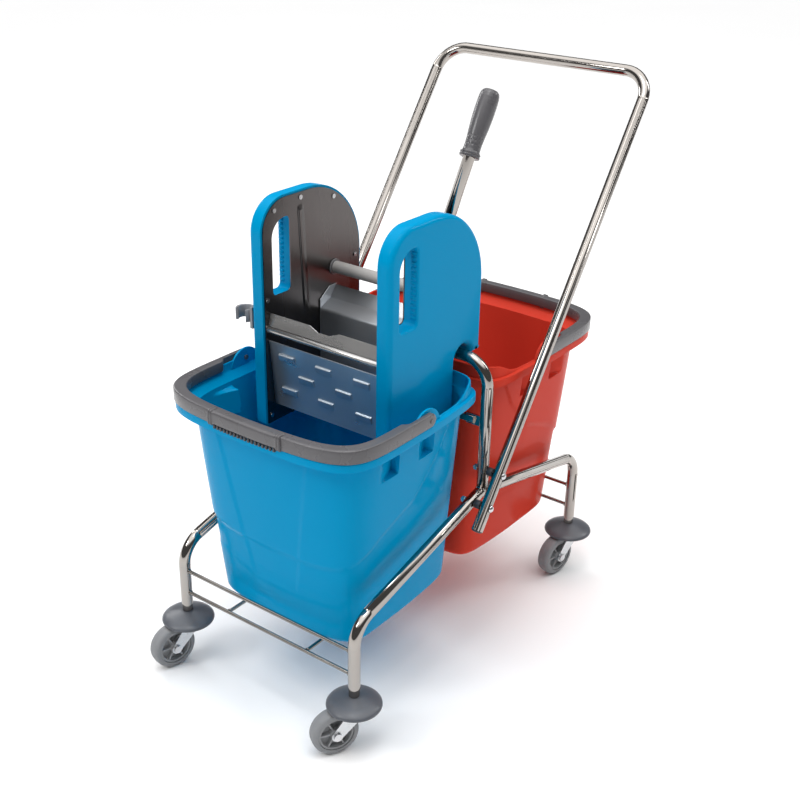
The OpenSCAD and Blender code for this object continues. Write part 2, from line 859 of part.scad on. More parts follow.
// Flat handle that lies on the rim between the ears.
module bail_body() {
    from = atan2(ear_from_hoop - rim_mid, rim_half_w + bail_in);
    plate_from = atan2(ear_from_hoop + bail_plate_from - rim_mid, rim_half_w + bail_in);
    top = bail_z + bail_h;
    arms = [for (i = [0:bail_turns])
        bail_box(mix(from, 180 - from, i / bail_turns), bail_in, bail_out, bail_z, top)];
    plate = [for (i = [0:bail_turns])
        bail_box(mix(plate_from, 180 - plate_from, i / bail_turns), -bail_reach, bail_out - 1,
            top - bail_top_t, top - bail_top_sink)];
    end_x = ring_point(from, 1, bail_in)[0];
    difference() {
        union() {
            ring_stack(arms, 4);
            ring_stack(plate, 4);
            for (side = [0, 1])
                mirror([side, 0, 0])
                    bar_x(end_x, end_x + bail_t, [ear_from_hoop, pivot_z], bail_h / 2);
            bail_grip();
        }
        bar_x(-2 * rim_half_w, 2 * rim_half_w, [ear_from_hoop, pivot_z], pivot_d / 2 + run_gap);
    }
}

// Block rooted in the bail, with a skirt that hangs down in front of the flange.
module grip_block(x, w, out, down, up) {
    rim_end = rim_mid + rim_len / 2;
    back = rim_end + bail_out - grip_root;
    skirt = rim_end + flange_out + move_gap;
    front = rim_end + bail_out + out;
    translate([x - w / 2, back, bail_z]) cube([w, front - back, up]);
    translate([x - w / 2, skirt, bail_z - down]) cube([w, front - skirt, down + up / 2]);
}

// Hand grip in front of the bail, with a collar at each end.
module bail_grip() {
    grip_block(0, grip_w, grip_out, grip_h, bail_h - 2);
    for (side = [-1, 1])
        grip_block(side * grip_w / 2, collar_w, grip_out + collar_out,
            grip_h + collar_out, bail_h + collar_out);
}

// Pins that join the bail arms to the ears.
module pivot_pins() {
    x0 = ear_x - ear_t - ear_set - pin_head;
    x1 = ear_x + bail_out + 1;
    for (side = [0, 1])
        mirror([side, 0, 0])
            bar_x(x0, x1, [ear_from_hoop, pivot_z], pivot_d / 2);
}

module at_front() {
    translate([0, hoop_y, 0])
        rotate([0, 0, 180])
            children();
}

module at_rear() {
    translate([0, hoop_y, 0]) children();
}

module front_bucket() {
    color(blue) at_front() bucket_body();
}

module front_bail() {
    color(grey) at_front() bail_body();
}

module front_pivots() {
    color(dark_grey) at_front() pivot_pins();
}

module rear_bucket() {
    color(red) at_rear() bucket_body();
}

module rear_bail() {
    color(grey) at_rear() bail_body();
}

module rear_pivots() {
    color(dark_grey) at_rear() pivot_pins();
}

// Moves a piece drawn about the hoop axis to its place.
module at_hoop() {
    translate([0, hoop_y, hoop_z]) children();
}

// Side view outline pulled out along X from x0.
module slab(x0, t) {
    translate([x0, 0, 0])
        rotate([90, 0, 90])
            linear_extrude(t) children();
}

// Side panel outline without its notch.
module panel_2d(inset) {
    front = -panel_front + inset;
    translate([front, -panel_down + inset])
        square([panel_front - panel_low_rear - 2 * inset, panel_down + rear_c[1] - inset]);
    translate([front, horn_low + inset])
        square([panel_front + panel_rear - 2 * inset, rear_c[1] - horn_low - inset]);
    translate([front, rear_c[1] - 1])
        square([panel_front + rear_c[0] - inset, front_c[1] - rear_c[1] + 1]);
    translate([front_c[0], rear_c[1] - 1])
        square([rear_c[0] - front_c[0], panel_up - inset - rear_c[1] + 1]);
    translate(front_c) circle(r = front_corner_r - inset);
    translate(rear_c)
        intersection() {
            circle(r = rear_corner_r - inset, $fn = 96);
            square(rear_corner_r);
        }
}

// Wide notch that clears the hoop tube.
module notch_2d(grow) {
    translate([notch_mid, notch_up - notch_r]) circle(r = notch_r + grow);
    translate([notch_mid - notch_r - grow, -2 * panel_down])
        square([2 * (notch_r + grow), 2 * panel_down + notch_up - notch_r]);
}

// Close notch in the liner that sits on the hoop tube.
module seat_2d() {
    seat_r = tube_d / 2 + move_gap;
    circle(r = seat_r);
    translate([-panel_low_rear - 2 * liner_inset, -2 * panel_down])
        square([panel_low_rear + 2 * liner_inset + seat_r, 2 * panel_down]);
}

// Finger slot with a large round corner at the front top and small round corners elsewhere.
module slot_2d(grow) {
    c = slot_corner_r;
    r = slot_w - c - slot_flat;
    translate([slot_v + r, slot_low + slot_h - r])
        intersection() {
            circle(r = r + grow, $fn = 96);
            translate([-r - grow, 0]) square(r + grow);
        }
    translate([slot_v - grow, slot_low + c]) square([slot_w + 2 * grow, slot_h - r - c]);
    translate([slot_v + r, slot_low + c]) square([slot_w - r + grow, slot_h - 2 * c]);
    translate([slot_v + r, slot_low + c]) square([slot_flat, slot_h - c + grow]);
    translate([slot_v + c, slot_low - grow]) square([slot_w - 2 * c, slot_h / 2]);
    for (p = [[c, c], [slot_w - c, c], [slot_w - c, slot_h - c]])
        translate([slot_v + p[0], slot_low + p[1]]) circle(r = c + grow);
}

module rivets_2d(r) {
    for (p = rivet_spots)
        translate(p) circle(r = r);
}

module ties_2d(r) {
    for (p = [tie_spot, low_tie_spot])
        translate(p) circle(r = r);
}

module bush_2d(r) {
    translate(shaft_spot) circle(r = r);
}

// Moulded side shell, open towards the liner.
module shell() {
    hollow = shell_t - shell_wall;
    color(blue)
        at_hoop()
            difference() {
                slab(shell_x, shell_t)
                    difference() {
                        panel_2d(0);
                        notch_2d(0);
                        slot_2d(0);
                    }
                slab(shell_x - 1, hollow + 1)
                    difference() {
                        panel_2d(shell_wall);
                        notch_2d(shell_wall);
                        slot_2d(shell_wall);
                        rivets_2d(rivet_hole_r + boss_wall);
                        ties_2d(tie_end_d / 2 + boss_wall);
                        bush_2d(bush_r + boss_wall);
                    }
                slab(shell_x - 1, rivet_len + 1) rivets_2d(rivet_hole_r);
                slab(shell_x - 1, tie_end_l + 1) ties_2d(tie_end_d / 2 + seat_gap);
                slab(shell_x - 1, bush_l + 1) bush_2d(bush_r + seat_gap);
            }
}

module right_shell() shell();

module left_shell() {
    difference() {
        mirror([1, 0, 0]) shell();
        at_hoop() clip_screw_hole();
    }
}

// Sheet steel liner inside the shell.
module liner() {
    color(dark_steel)
        at_hoop()
            slab(liner_x, liner_t)
                difference() {
                    panel_2d(liner_inset);
                    seat_2d();
                    slot_2d(0);
                    rivets_2d(rivet_hole_r);
                    ties_2d(tie_end_d / 2 + seat_gap);
                    bush_2d(bush_r + seat_gap);
                }
}

module right_liner() liner();

module left_liner() mirror([1, 0, 0]) liner();

module liner_rivets() {
    color(steel)
        at_hoop()
            for (side = [0, 1], p = rivet_spots)
                mirror([side, 0, 0]) {
                    bar_x(liner_x - 1, shell_x + rivet_len - 1, p, rivet_d / 2);
                    bar_x(liner_x - seat_gap / 2 - rivet_head_h, liner_x - seat_gap / 2, p, rivet_head_r);
                }
}

// Thin sheet along a path, in side view, with mitred corners.
module sheet_2d(p, t) {
    over = [for (i = [0:len(p) - 1]) p[i] + t / 2 * mitre(p, i)];
    under = [for (i = [len(p) - 1:-1:0]) p[i] - t / 2 * mitre(p, i)];
    polygon(concat(over, under));
}

// Fixed plate that the mop is pressed against, with rows of raised bars.
module press_plate() {
    half = liner_x - seat_gap;
    color(steel)
        at_hoop() {
            slab(-half, 2 * half) sheet_2d([plate_top, plate_low], plate_t);
            for (row = [0:len(bar_rows) - 1], k = [-1:1]) {
                x = k * bar_pitch + (row == 1 ? bar_pitch / 2 : 0);
                spot = mix(plate_top, plate_low, bar_rows[row]);
                if (x + bar_l / 2 < half) bar_x(x - bar_l / 2, x + bar_l / 2, spot, bar_d / 2);
            }
        }
}

// Guard strip above the tie bar with a shallow dip in its edge.
module lip_plate() {
    half = liner_x - seat_gap;
    color(steel)
        at_hoop()
            translate([0, tie_spot[0] + lip_t, tie_spot[1] + tie_d / 2 + seat_gap + 0.5])
                rotate([90 - lip_lean, 0, 0])
                    linear_extrude(lip_t)
                        polygon([[-half, 0], [half, 0], [half, lip_h], [dip_w / 2, lip_h],
                            [dip_low_w / 2, lip_h - dip_h], [-dip_low_w / 2, lip_h - dip_h],
                            [-dip_w / 2, lip_h], [-half, lip_h]]);
}

// Bar between the liners with thinner ends held in both shells.
module tie(spot, d) {
    half = liner_x - seat_gap;
    reach = shell_x + tie_end_l - 1;
    bar_x(-half, half, spot, d / 2);
    bar_x(-reach, reach, spot, tie_end_d / 2);
}

module tie_bar() {
    color(steel) at_hoop() tie(tie_spot, tie_d);
}

module lower_tie_rod() {
    color(steel) at_hoop() tie(low_tie_spot, low_tie_d);
}

// Flanged plastic bearings of the shaft.
module shaft_bushes() {
    x0 = liner_x - bush_flange_t;
    x1 = shell_x + bush_l - 1;
    color(grey)
        at_hoop()
            for (side = [0, 1])
                mirror([side, 0, 0])
                    difference() {
                        union() {
                            bar_x(x0, x1, shaft_spot, bush_r);
                            bar_x(x0, liner_x - seat_gap / 2, shaft_spot, bush_flange_r);
                        }
                        bar_x(x0 - 1, x1 + 1, shaft_spot, shaft_end_d / 2 + run_gap);
                    }
}

// Open spring ring on the left shell for a mop handle.
module mop_clip() {
    base_x = -shell_end - seat_gap - clip_base_t;
    width = 12;
    color(grey)
        at_hoop()
            difference() {
                union() {
                    translate([clip_x, clip_v, clip_up]) cylinder(r = clip_r, h = clip_h);
                    translate([base_x, clip_v - width / 2, clip_up - clip_tail])
                        cube([clip_base_t, width, clip_h + clip_head + clip_tail]);
                    translate([clip_x + clip_r - 2, clip_v - 4, clip_up]) cube([3, 8, clip_h]);
                }
                translate([clip_x, clip_v, clip_up - 1]) cylinder(r = clip_in_r, h = clip_h + 2);
                translate([clip_x, clip_v, clip_up - 1])
                    linear_extrude(clip_h + 2)
                        polygon([[0, 0], 3 * clip_r * [cos(-90 - clip_mouth), sin(-90 - clip_mouth)],
                            3 * clip_r * [cos(-90 + clip_mouth), sin(-90 + clip_mouth)]]);
                clip_screw_hole();
            }
}

module clip_screw_hole() {
    spot = [clip_v, clip_up - screw_drop];
    bar_x(-shell_end - clip_base_t - 1, -shell_end + shell_wall + 1, spot, screw_d / 2 + rivet_gap);
}

module clip_screw() {
    spot = [clip_v, clip_up - screw_drop];
    head_x = -shell_end - seat_gap - clip_base_t;
    color(steel)
        at_hoop() {
            bar_x(head_x - 1, -shell_end + shell_wall, spot, screw_d / 2);
            bar_x(head_x - 2 - seat_gap, head_x - seat_gap, spot, 0.9 * screw_d);
        }
}

// Cross shaft that carries lever and jaw.
module lever_shaft() {
    reach = shell_x + bush_l - 2;
    color(grey)
        at_hoop() {
            bar_x(-shaft_half, shaft_half, shaft_spot, shaft_d / 2);
            bar_x(-reach, reach, shaft_spot, shaft_end_d / 2);
        }
}

// Places a piece along the lever, its own axis along Z from the shaft.
module along_lever() {
    at_hoop()
        translate([lever_x, shaft_spot[0], shaft_spot[1]])
            rotate([-lever_lean, 0, 0])
                children();
}

module lever_tube() {
    color(steel)
        difference() {
            along_lever()
                linear_extrude(lever_len - cap_t) tube_section(tube_d, tube_wall);
            at_hoop()
                bar_x(-shaft_half, shaft_half, shaft_spot, shaft_d / 2 + seat_gap);
        }
}

// Moulded grip with a collar at its lower end and a round top.
module lever_grip() {
    r = lever_grip_d / 2;
    hole = tube_d / 2 + seat_gap / 2;
    profile = [[hole, grip_s], [r - 0.5, grip_s], [r, grip_s + 1], [r, grip_s + 6], [r - 1, grip_s + 7],
        [r - 2.5, grip_s + 9], [r - 2.4, grip_s + 20], [r - 1, grip_s + 34], [r - 0.2, grip_s + 52],
        [r - 0.4, lever_len - 12], [r - 1.8, lever_len - 6], [r - 4.5, lever_len - 2],
        [r - 8, lever_len - 0.3], [0, lever_len], [0, lever_len - cap_t + seat_gap],
        [hole, lever_len - cap_t + seat_gap]];
    color(grey)
        along_lever()
            rotate_extrude() polygon(profile);
}

// Bent sheet that presses the mop.
module press_jaw() {
    color(steel)
        at_hoop()
            difference() {
                slab(-jaw_half, 2 * jaw_half) sheet_2d(jaw_path, jaw_t);
                for (x = [lever_x - arm_in - arm_t / 2, lever_x + arm_in + arm_t / 2])
                    jaw_hole(x);
            }
}

module jaw_hole(x) {
    translate([x, -jaw_front - 1, jaw_rivet_up])
        rotate([-90, 0, 0])
            cylinder(r = rivet_hole_r, h = jaw_t + 2);
}

// End plates of the jaw.
module jaw_cheeks() {
    back = -jaw_front + jaw_back + jaw_t;
    outline = [[-jaw_front, -jaw_down - jaw_t / 2], [-jaw_front + jaw_depth, -jaw_down - jaw_t / 2],
        [back, jaw_shelf], [back, jaw_top + jaw_t], [back - cheek_slope, jaw_top + jaw_t],
        [-jaw_front, jaw_shelf + cheek_front]];
    color(steel)
        at_hoop()
            for (side = [0, 1])
                mirror([side, 0, 0])
                    slab(cheek_x, cheek_t) polygon(outline);
}

// Two flat arms from the shaft to the back of the jaw, one each side of the lever.
module drive_arms() {
    s = shaft_spot;
    back = -jaw_front + jaw_t + seat_gap;
    foot = jaw_rivet_up - arm_foot / 2;
    head = jaw_rivet_up + arm_foot / 2;
    outline = [[back, foot], [back, head], [back + jaw_depth - 4, head + 6],
        [back + jaw_depth + 4, jaw_step - 4], [back + jaw_back, jaw_top - 3], [s[0] - 6, s[1]],
        [s[0] + 12, s[1]], [s[0] + 8, jaw_step - 4], [back + jaw_depth + 2, foot + 4]];
    eye = shaft_d / 2 + 5;
    color(dark_steel)
        at_hoop()
            for (x = [lever_x - arm_in - arm_t, lever_x + arm_in])
                difference() {
                    slab(x, arm_t) {
                        polygon(outline);
                        translate(s) circle(r = eye);
                    }
                    bar_x(x - 1, x + arm_t + 1, s, shaft_d / 2 + seat_gap / 2);
                    translate([x + arm_t / 2, back - 1, jaw_rivet_up])
                        rotate([-90, 0, 0])
                            cylinder(r = rivet_hole_r, h = rivet_len);
                }
}

// Rivets through the jaw into the arms.
module jaw_rivets() {
    back = -jaw_front + jaw_t + seat_gap;
    color(steel)
        at_hoop()
            for (x = [lever_x - arm_in - arm_t / 2, lever_x + arm_in + arm_t / 2])
                translate([x, -jaw_front - seat_gap / 2, jaw_rivet_up])
                    rotate([-90, 0, 0]) {
                        cylinder(d = rivet_d, h = jaw_t + rivet_len - 3);
                        translate([0, 0, -rivet_head_h]) cylinder(r = rivet_head_r, h = rivet_head_h);
                    }
}

left_rail();
right_rail();
centre_hoop();
hoop_crossbar();
front_stop_rods();
rear_stop_rods();
rack_rods();
push_handle();
handle_spacers();
handle_bolts();
handle_nuts();
caster_stems();
bumper_fl();
bumper_fr();
bumper_rl();
bumper_rr();
fork_fl();
fork_fr();
fork_rl();
fork_rr();
axle_fl();
axle_fr();
axle_rl();
axle_rr();
hub_fl();
hub_fr();
hub_rl();
hub_rr();
tyre_fl();
tyre_fr();
tyre_rl();
tyre_rr();
front_bucket();
front_bail();
front_pivots();
rear_bucket();
rear_bail();
rear_pivots();
left_shell();
right_shell();
left_liner();
right_liner();
liner_rivets();
press_plate();
lip_plate();
tie_bar();
lower_tie_rod();
shaft_bushes();
mop_clip();
clip_screw();
lever_shaft();
lever_tube();
lever_grip();
press_jaw();
jaw_cheeks();
drive_arms();
jaw_rivets();
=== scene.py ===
import math

import bpy
import numpy as np
from mathutils import Matrix, Vector
from mathutils.geometry import tessellate_polygon


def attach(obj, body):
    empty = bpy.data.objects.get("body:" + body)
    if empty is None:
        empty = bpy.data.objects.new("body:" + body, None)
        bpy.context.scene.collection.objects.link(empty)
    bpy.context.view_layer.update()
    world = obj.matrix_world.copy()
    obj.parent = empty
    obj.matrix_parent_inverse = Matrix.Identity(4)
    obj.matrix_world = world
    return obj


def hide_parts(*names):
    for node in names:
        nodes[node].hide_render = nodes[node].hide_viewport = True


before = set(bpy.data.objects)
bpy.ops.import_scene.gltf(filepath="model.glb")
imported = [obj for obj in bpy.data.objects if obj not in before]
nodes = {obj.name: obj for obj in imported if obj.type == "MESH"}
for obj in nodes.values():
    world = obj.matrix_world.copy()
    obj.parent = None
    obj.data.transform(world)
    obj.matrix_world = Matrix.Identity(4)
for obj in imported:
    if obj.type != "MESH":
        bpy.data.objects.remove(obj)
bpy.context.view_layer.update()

# Tube frame: two side rails with their legs, the centre hoop and its flat-ended crossbar.
# Mild steel tube, 19 mm, bent cold and welded into one piece, then bright chrome plated.
# The hoop legs are coped and stand on the rails inside a ring of weld.
MM = 0.001
TUBE_R = 9.5
LEG_X, HOOP_Y, HOOP_Z = 177.0, -9.486, 526.1
PEAK_LINE_Z, PEAK_BEND_R = 300.4, 60.0


def finish(name, light, dark, grain, rough, stretch=(1, 1, 1), bump=0.0, fine=900, metal=0.0, shine=0.5):
    """Material with two close tones, uneven gloss and a fine relief, on object coordinates."""
    made = bpy.data.materials.new(name)
    made.use_nodes = True
    tree = made.node_tree
    link = tree.links.new
    shader = tree.nodes["Principled BSDF"]
    shader.inputs["Metallic"].default_value = metal
    shader.inputs["Specular IOR Level"].default_value = shine
    where = tree.nodes.new("ShaderNodeTexCoord")
    turn = tree.nodes.new("ShaderNodeMapping")
    turn.inputs["Scale"].default_value = stretch
    link(where.outputs["Object"], turn.inputs["Vector"])
    cloud = tree.nodes.new("ShaderNodeTexNoise")
    cloud.inputs["Scale"].default_value = grain
    cloud.inputs["Detail"].default_value = 5.0
    link(turn.outputs["Vector"], cloud.inputs["Vector"])
    tone = tree.nodes.new("ShaderNodeMix")
    tone.data_type = "RGBA"
    tone.inputs["A"].default_value = (*dark, 1)
    tone.inputs["B"].default_value = (*light, 1)
    link(cloud.outputs["Fac"], tone.inputs["Factor"])
    link(tone.outputs["Result"], shader.inputs["Base Color"])
    gloss = tree.nodes.new("ShaderNodeMapRange")
    gloss.inputs["From Min"].default_value = 0.3
    gloss.inputs["From Max"].default_value = 0.7
    gloss.inputs["To Min"].default_value = rough[0]
    gloss.inputs["To Max"].default_value = rough[1]
    link(cloud.outputs["Fac"], gloss.inputs["Value"])
    link(gloss.outputs["Result"], shader.inputs["Roughness"])
    if bump:
        skin = tree.nodes.new("ShaderNodeTexNoise")
        skin.inputs["Scale"].default_value = fine
        skin.inputs["Detail"].default_value = 3.0
        link(turn.outputs["Vector"], skin.inputs["Vector"])
        relief = tree.nodes.new("ShaderNodeBump")
        relief.inputs["Strength"].default_value = bump
        relief.inputs["Distance"].default_value = 0.0005
        link(skin.outputs["Fac"], relief.inputs["Height"])
        link(relief.outputs["Normal"], shader.inputs["Normal"])
    return made


def carry(coat, *names, edge=0.0):
    """Gives CAD solids their finish, smooth round faces and a small broken edge."""
    for n in names:
        solid = nodes[n]
        solid.data.materials.clear()
        solid.data.materials.append(coat)
        weld = solid.modifiers.new("weld", "WELD")
        weld.merge_threshold = 2e-6
        if edge:
            broken = solid.modifiers.new("edge", "BEVEL")
            broken.width = edge * MM
            broken.segments = 2
            broken.limit_method = "ANGLE"
            broken.angle_limit = math.radians(40)
            broken.harden_normals = True


def fix(obj, body, stands_for=()):
    """Hands a finished piece to the body that carries it."""
    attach(obj, body)
    if stands_for:
        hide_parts(*stands_for)
    return obj


def piece(name, points, faces, coat, body, slot, stands_for=(), sharp=38, even=False):
    """A mesh piece from points in millimetres."""
    mesh = bpy.data.meshes.new(name)
    mesh.from_pydata([tuple(p) for p in np.asarray(points, float) * MM], [], [tuple(f) for f in faces])
    mesh.validate()
    mesh.shade_smooth()
    mesh.set_sharp_from_angle(angle=math.radians(sharp))
    mesh.materials.append(coat)
    obj = bpy.data.objects.new(name, mesh)
    bpy.context.scene.collection.objects.link(obj)
    if even:
        obj.modifiers.new("even", "WEIGHTED_NORMAL").keep_sharp = True
    return fix(obj, body, stands_for)


def node_tree(name, floats=(), others=()):
    """An empty Geometry Nodes tree: geometry, named sizes and a finish go in, geometry comes out."""
    tree = bpy.data.node_groups.new(name, "GeometryNodeTree")
    sizes = [(label, "Float") for label in floats]
    for label, kind in [("Geometry", "Geometry"), *sizes, *others, ("Finish", "Material")]:
        tree.interface.new_socket(label, in_out="INPUT", socket_type="NodeSocket" + kind)
    tree.interface.new_socket("Geometry", in_out="OUTPUT", socket_type="NodeSocketGeometry")
    return tree, tree.nodes.new("NodeGroupInput"), tree.nodes.new("NodeGroupOutput")


def grown(name, start, tree, sizes, body, stands_for=()):
    """Runs a tree on a start mesh once and keeps the result as a plain mesh piece."""
    seed = bpy.data.objects.new(name + "_start", start)
    bpy.context.scene.collection.objects.link(seed)
    grow = seed.modifiers.new("grow", "NODES")
    grow.node_group = tree
    for item in tree.interface.items_tree:
        if item.item_type == "SOCKET" and item.in_out == "INPUT" and item.name in sizes:
            grow[item.identifier] = sizes[item.name]
    bpy.context.view_layer.update()
    seen = seed.evaluated_get(bpy.context.evaluated_depsgraph_get())
    mesh = bpy.data.meshes.new_from_object(seen)
    bpy.data.objects.remove(seed)
    mesh.name = name
    obj = bpy.data.objects.new(name, mesh)
    bpy.context.scene.collection.objects.link(obj)
    return fix(obj, body, stands_for)


def bead_tree():
    """Weld bead: a round section along each path, its thickness rippled by noise."""
    tree, into, out = node_tree("weld_bead", ("Bead radius", "Ripple"))
    link = tree.links.new
    path = tree.nodes.new("GeometryNodeMeshToCurve")
    link(into.outputs["Geometry"], path.inputs["Mesh"])
    ripple = tree.nodes.new("ShaderNodeTexNoise")
    ripple.inputs["Scale"].default_value = 420.0
    swell = tree.nodes.new("ShaderNodeMath")
    swell.operation = "MULTIPLY_ADD"
    swell.inputs[2].default_value = 1.0
    link(ripple.outputs["Fac"], swell.inputs[0])
    link(into.outputs["Ripple"], swell.inputs[1])
    thick = tree.nodes.new("GeometryNodeSetCurveRadius")
    link(path.outputs["Curve"], thick.inputs["Curve"])
    link(swell.outputs["Value"], thick.inputs["Radius"])
    ring = tree.nodes.new("GeometryNodeCurvePrimitiveCircle")
    ring.inputs["Resolution"].default_value = 10
    link(into.outputs["Bead radius"], ring.inputs["Radius"])
    skin = tree.nodes.new("GeometryNodeCurveToMesh")
    skin.inputs["Fill Caps"].default_value = True
    link(thick.outputs["Curve"], skin.inputs["Curve"])
    link(ring.outputs["Curve"], skin.inputs["Profile Curve"])
    close_tree(tree, skin.outputs["Mesh"], into, out)
    return tree


def close_tree(tree, last, into, out):
    """Every tree ends alike: smooth faces, real geometry, its finish."""
    smooth = tree.nodes.new("GeometryNodeSetShadeSmooth")
    real = tree.nodes.new("GeometryNodeRealizeInstances")
    coat = tree.nodes.new("GeometryNodeSetMaterial")
    tree.links.new(last, smooth.inputs["Geometry"])
    tree.links.new(smooth.outputs["Geometry"], real.inputs["Geometry"])
    tree.links.new(real.outputs["Geometry"], coat.inputs["Geometry"])
    tree.links.new(into.outputs["Finish"], coat.inputs["Material"])
    tree.links.new(coat.outputs["Geometry"], out.inputs["Geometry"])


def rings_mesh(name, rings):
    """Closed paths, in millimetres, as bare edges."""
    points, edges = [], []
    for ring in rings:
        first = len(points)
        points += [tuple(p) for p in np.asarray(ring, float) * MM]
        edges += [(first + i, first + (i + 1) % len(ring)) for i in range(len(ring))]
    mesh = bpy.data.meshes.new(name)
    mesh.from_pydata(points, edges, [])
    return mesh


tube_chrome = finish("tube_chrome", (0.44, 0.41, 0.38), (0.33, 0.305, 0.285), 9, (0.05, 0.14),
                     bump=0.03, fine=260, metal=1.0)
carry(tube_chrome, "left_rail", "right_rail", "centre_hoop")
carry(tube_chrome, "hoop_crossbar", edge=0.8)

bead = bead_tree()
hoop_rings = []
for side in (-1, 1):
    turn = np.radians(np.arange(0, 360, 7.5))
    off = TUBE_R * np.sin(turn)
    rail_top = PEAK_LINE_Z - PEAK_BEND_R + np.sqrt(PEAK_BEND_R**2 - off**2)
    hoop_rings.append(np.stack([side * LEG_X + TUBE_R * np.cos(turn), HOOP_Y + off,
                                rail_top + np.abs(off)], 1))
grown("hoop_welds", rings_mesh("hoop_welds", hoop_rings), bead,
      {"Bead radius": 1.3 * MM, "Ripple": 0.5, "Finish": tube_chrome}, "frame")

# Wire rack: two stop rods between the legs at each end and two rods that carry the buckets.
# Bright chromed steel rod, 6 mm: the stop rods are welded to the legs, the carrying rods butt on them.
FRONT_Y, REAR_Y = -337.986, 299.014
LOWER_ROD_Z, UPPER_ROD_Z = 130.1, 171.6
RACK_X, ROD_R, ROD_WELD_R = 82.0, 3.0, 3.4
rod_chrome = finish("rod_chrome", (0.32, 0.30, 0.28), (0.23, 0.215, 0.2), 14, (0.08, 0.2),
                    bump=0.05, fine=420, metal=1.0)
carry(rod_chrome, "front_stop_rods", "rear_stop_rods", "rack_rods")
rod_rings = []
turn = np.radians(np.arange(0, 360, 20))
for y, out in ((FRONT_Y, 1), (REAR_Y, -1)):
    for side in (-1, 1):
        for z in (LOWER_ROD_Z, UPPER_ROD_Z):
            rod_rings.append(np.stack([np.full_like(turn, side * (LEG_X - TUBE_R - 0.4)),
                                       y + ROD_WELD_R * np.cos(turn), z + ROD_WELD_R * np.sin(turn)], 1))
        rod_rings.append(np.stack([side * RACK_X + ROD_R * np.cos(turn),
                                   np.full_like(turn, y + out * ROD_WELD_R),
                                   LOWER_ROD_Z + ROD_R * np.sin(turn)], 1))
grown("rack_welds", rings_mesh("rack_welds", rod_rings), bead,
      {"Bead radius": 1.1 * MM, "Ripple": 0.6, "Finish": rod_chrome}, "frame")

# Push handle: one bent tube bolted to the outside of the hoop legs and the rails.
# Bright chromed steel on black sleeves, with bolts and nuts and a black plug in each end.
HANDLE_X, BOLT_Z, HANDLE_LEAN, HANDLE_FOOT = 206.4, 338.7, math.radians(35.6), 95.0
sleeve_black = finish("sleeve_black", (0.05, 0.05, 0.055), (0.025, 0.025, 0.03), 120, (0.4, 0.55), bump=0.1)
bolt_zinc = finish("bolt_zinc", (0.74, 0.74, 0.75), (0.5, 0.5, 0.52), 160, (0.16, 0.32),
                   bump=0.06, fine=1500, metal=1.0)
carry(tube_chrome, "push_handle")
carry(sleeve_black, "handle_spacers", edge=0.4)
carry(bolt_zinc, "handle_bolts", "handle_nuts", edge=0.3)


def revolved(profile, count=72, closed=True):
    """Points and faces of a turned piece about Z, from (radius, height) pairs in millimetres."""
    profile = np.asarray(profile, float)
    turn = np.linspace(0, 2 * np.pi, count, endpoint=False)
    points = np.stack([np.outer(np.cos(turn), profile[:, 0]), np.outer(np.sin(turn), profile[:, 0]),
                       np.broadcast_to(profile[:, 1], (count, len(profile)))], 2).reshape(-1, 3)
    n, faces = len(profile), []
    for i in range(count):
        j = (i + 1) % count
        for k in range(n if closed else n - 1):
            m = (k + 1) % n
            faces.append((i * n + k, j * n + k, j * n + m, i * n + m))
    return points, faces


def loft(rings, count, flip=False, ends=True, first=0):
    """Faces of a skin over rings of count points each, with both ends closed or left open."""
    faces = [tuple(range(count))[::-1], tuple(range((rings - 1) * count, rings * count))] if ends else []
    for k in range(rings - 1):
        near, far = first + k * count, first + (k + 1) * count
        faces += [(near + i, near + (i + 1) % count, far + (i + 1) % count, far + i) for i in range(count)]
    return [face[::-1] for face in faces] if flip else faces


def merged(parts):
    """Several (points, faces) as one."""
    points, faces, first = [], [], 0
    for p, f in parts:
        points.append(np.asarray(p, float))
        faces += [tuple(first + i for i in face) for face in f]
        first += len(p)
    return np.concatenate(points), faces


def placed(points, matrix):
    """Points moved by a 4x4 matrix in millimetres."""
    m = np.array(matrix, float)
    return np.asarray(points, float) @ m[:3, :3].T + m[:3, 3]


plug_profile = [(0.01, -3.2), (4, -3.0), (7.2, -2.2), (8.8, -0.9), (9.2, 0), (7.6, 0.2), (7.6, 12),
                (0.01, 12)]
plugs = []
for side in (-1, 1):
    points, faces = revolved(plug_profile, 40, closed=False)
    foot = Matrix.Translation((side * HANDLE_X, HOOP_Y - HANDLE_FOOT * math.sin(HANDLE_LEAN),
                               BOLT_Z - HANDLE_FOOT * math.cos(HANDLE_LEAN)))
    plugs.append((placed(points, foot @ Matrix.Rotation(-HANDLE_LEAN, 4, "X")), faces))
piece("handle_plugs", *merged(plugs), sleeve_black, "frame", "tyre_rubber")

# Casters: a sleeved pin in each leg, a domed bumper disc, a pressed fork and a wheel on an axle bolt.
# Grey polypropylene bumpers and wheel centres, grey rubber tyres, zinc plated steel forks and bolts.
CORNERS = {"fl": (-LEG_X, FRONT_Y, -104), "fr": (LEG_X, FRONT_Y, -120),
           "rl": (-LEG_X, REAR_Y, -110), "rr": (LEG_X, REAR_Y, -100)}
TRAIL, WHEEL_R, RIM_R = 32.5, 37.5, 28.0
BUMPER_Z = 87.4
caster_grey = finish("caster_grey", (0.1, 0.108, 0.125), (0.08, 0.086, 0.1), 60, (0.3, 0.42),
                     bump=0.06, fine=1400)
tyre_grey = finish("tyre_grey", (0.26, 0.265, 0.275), (0.2, 0.205, 0.215), 90, (0.5, 0.68),
                   bump=0.12, fine=1100)
hub_grey = finish("hub_grey", (0.31, 0.315, 0.325), (0.25, 0.255, 0.265), 70, (0.34, 0.48),
                  bump=0.07, fine=1200)
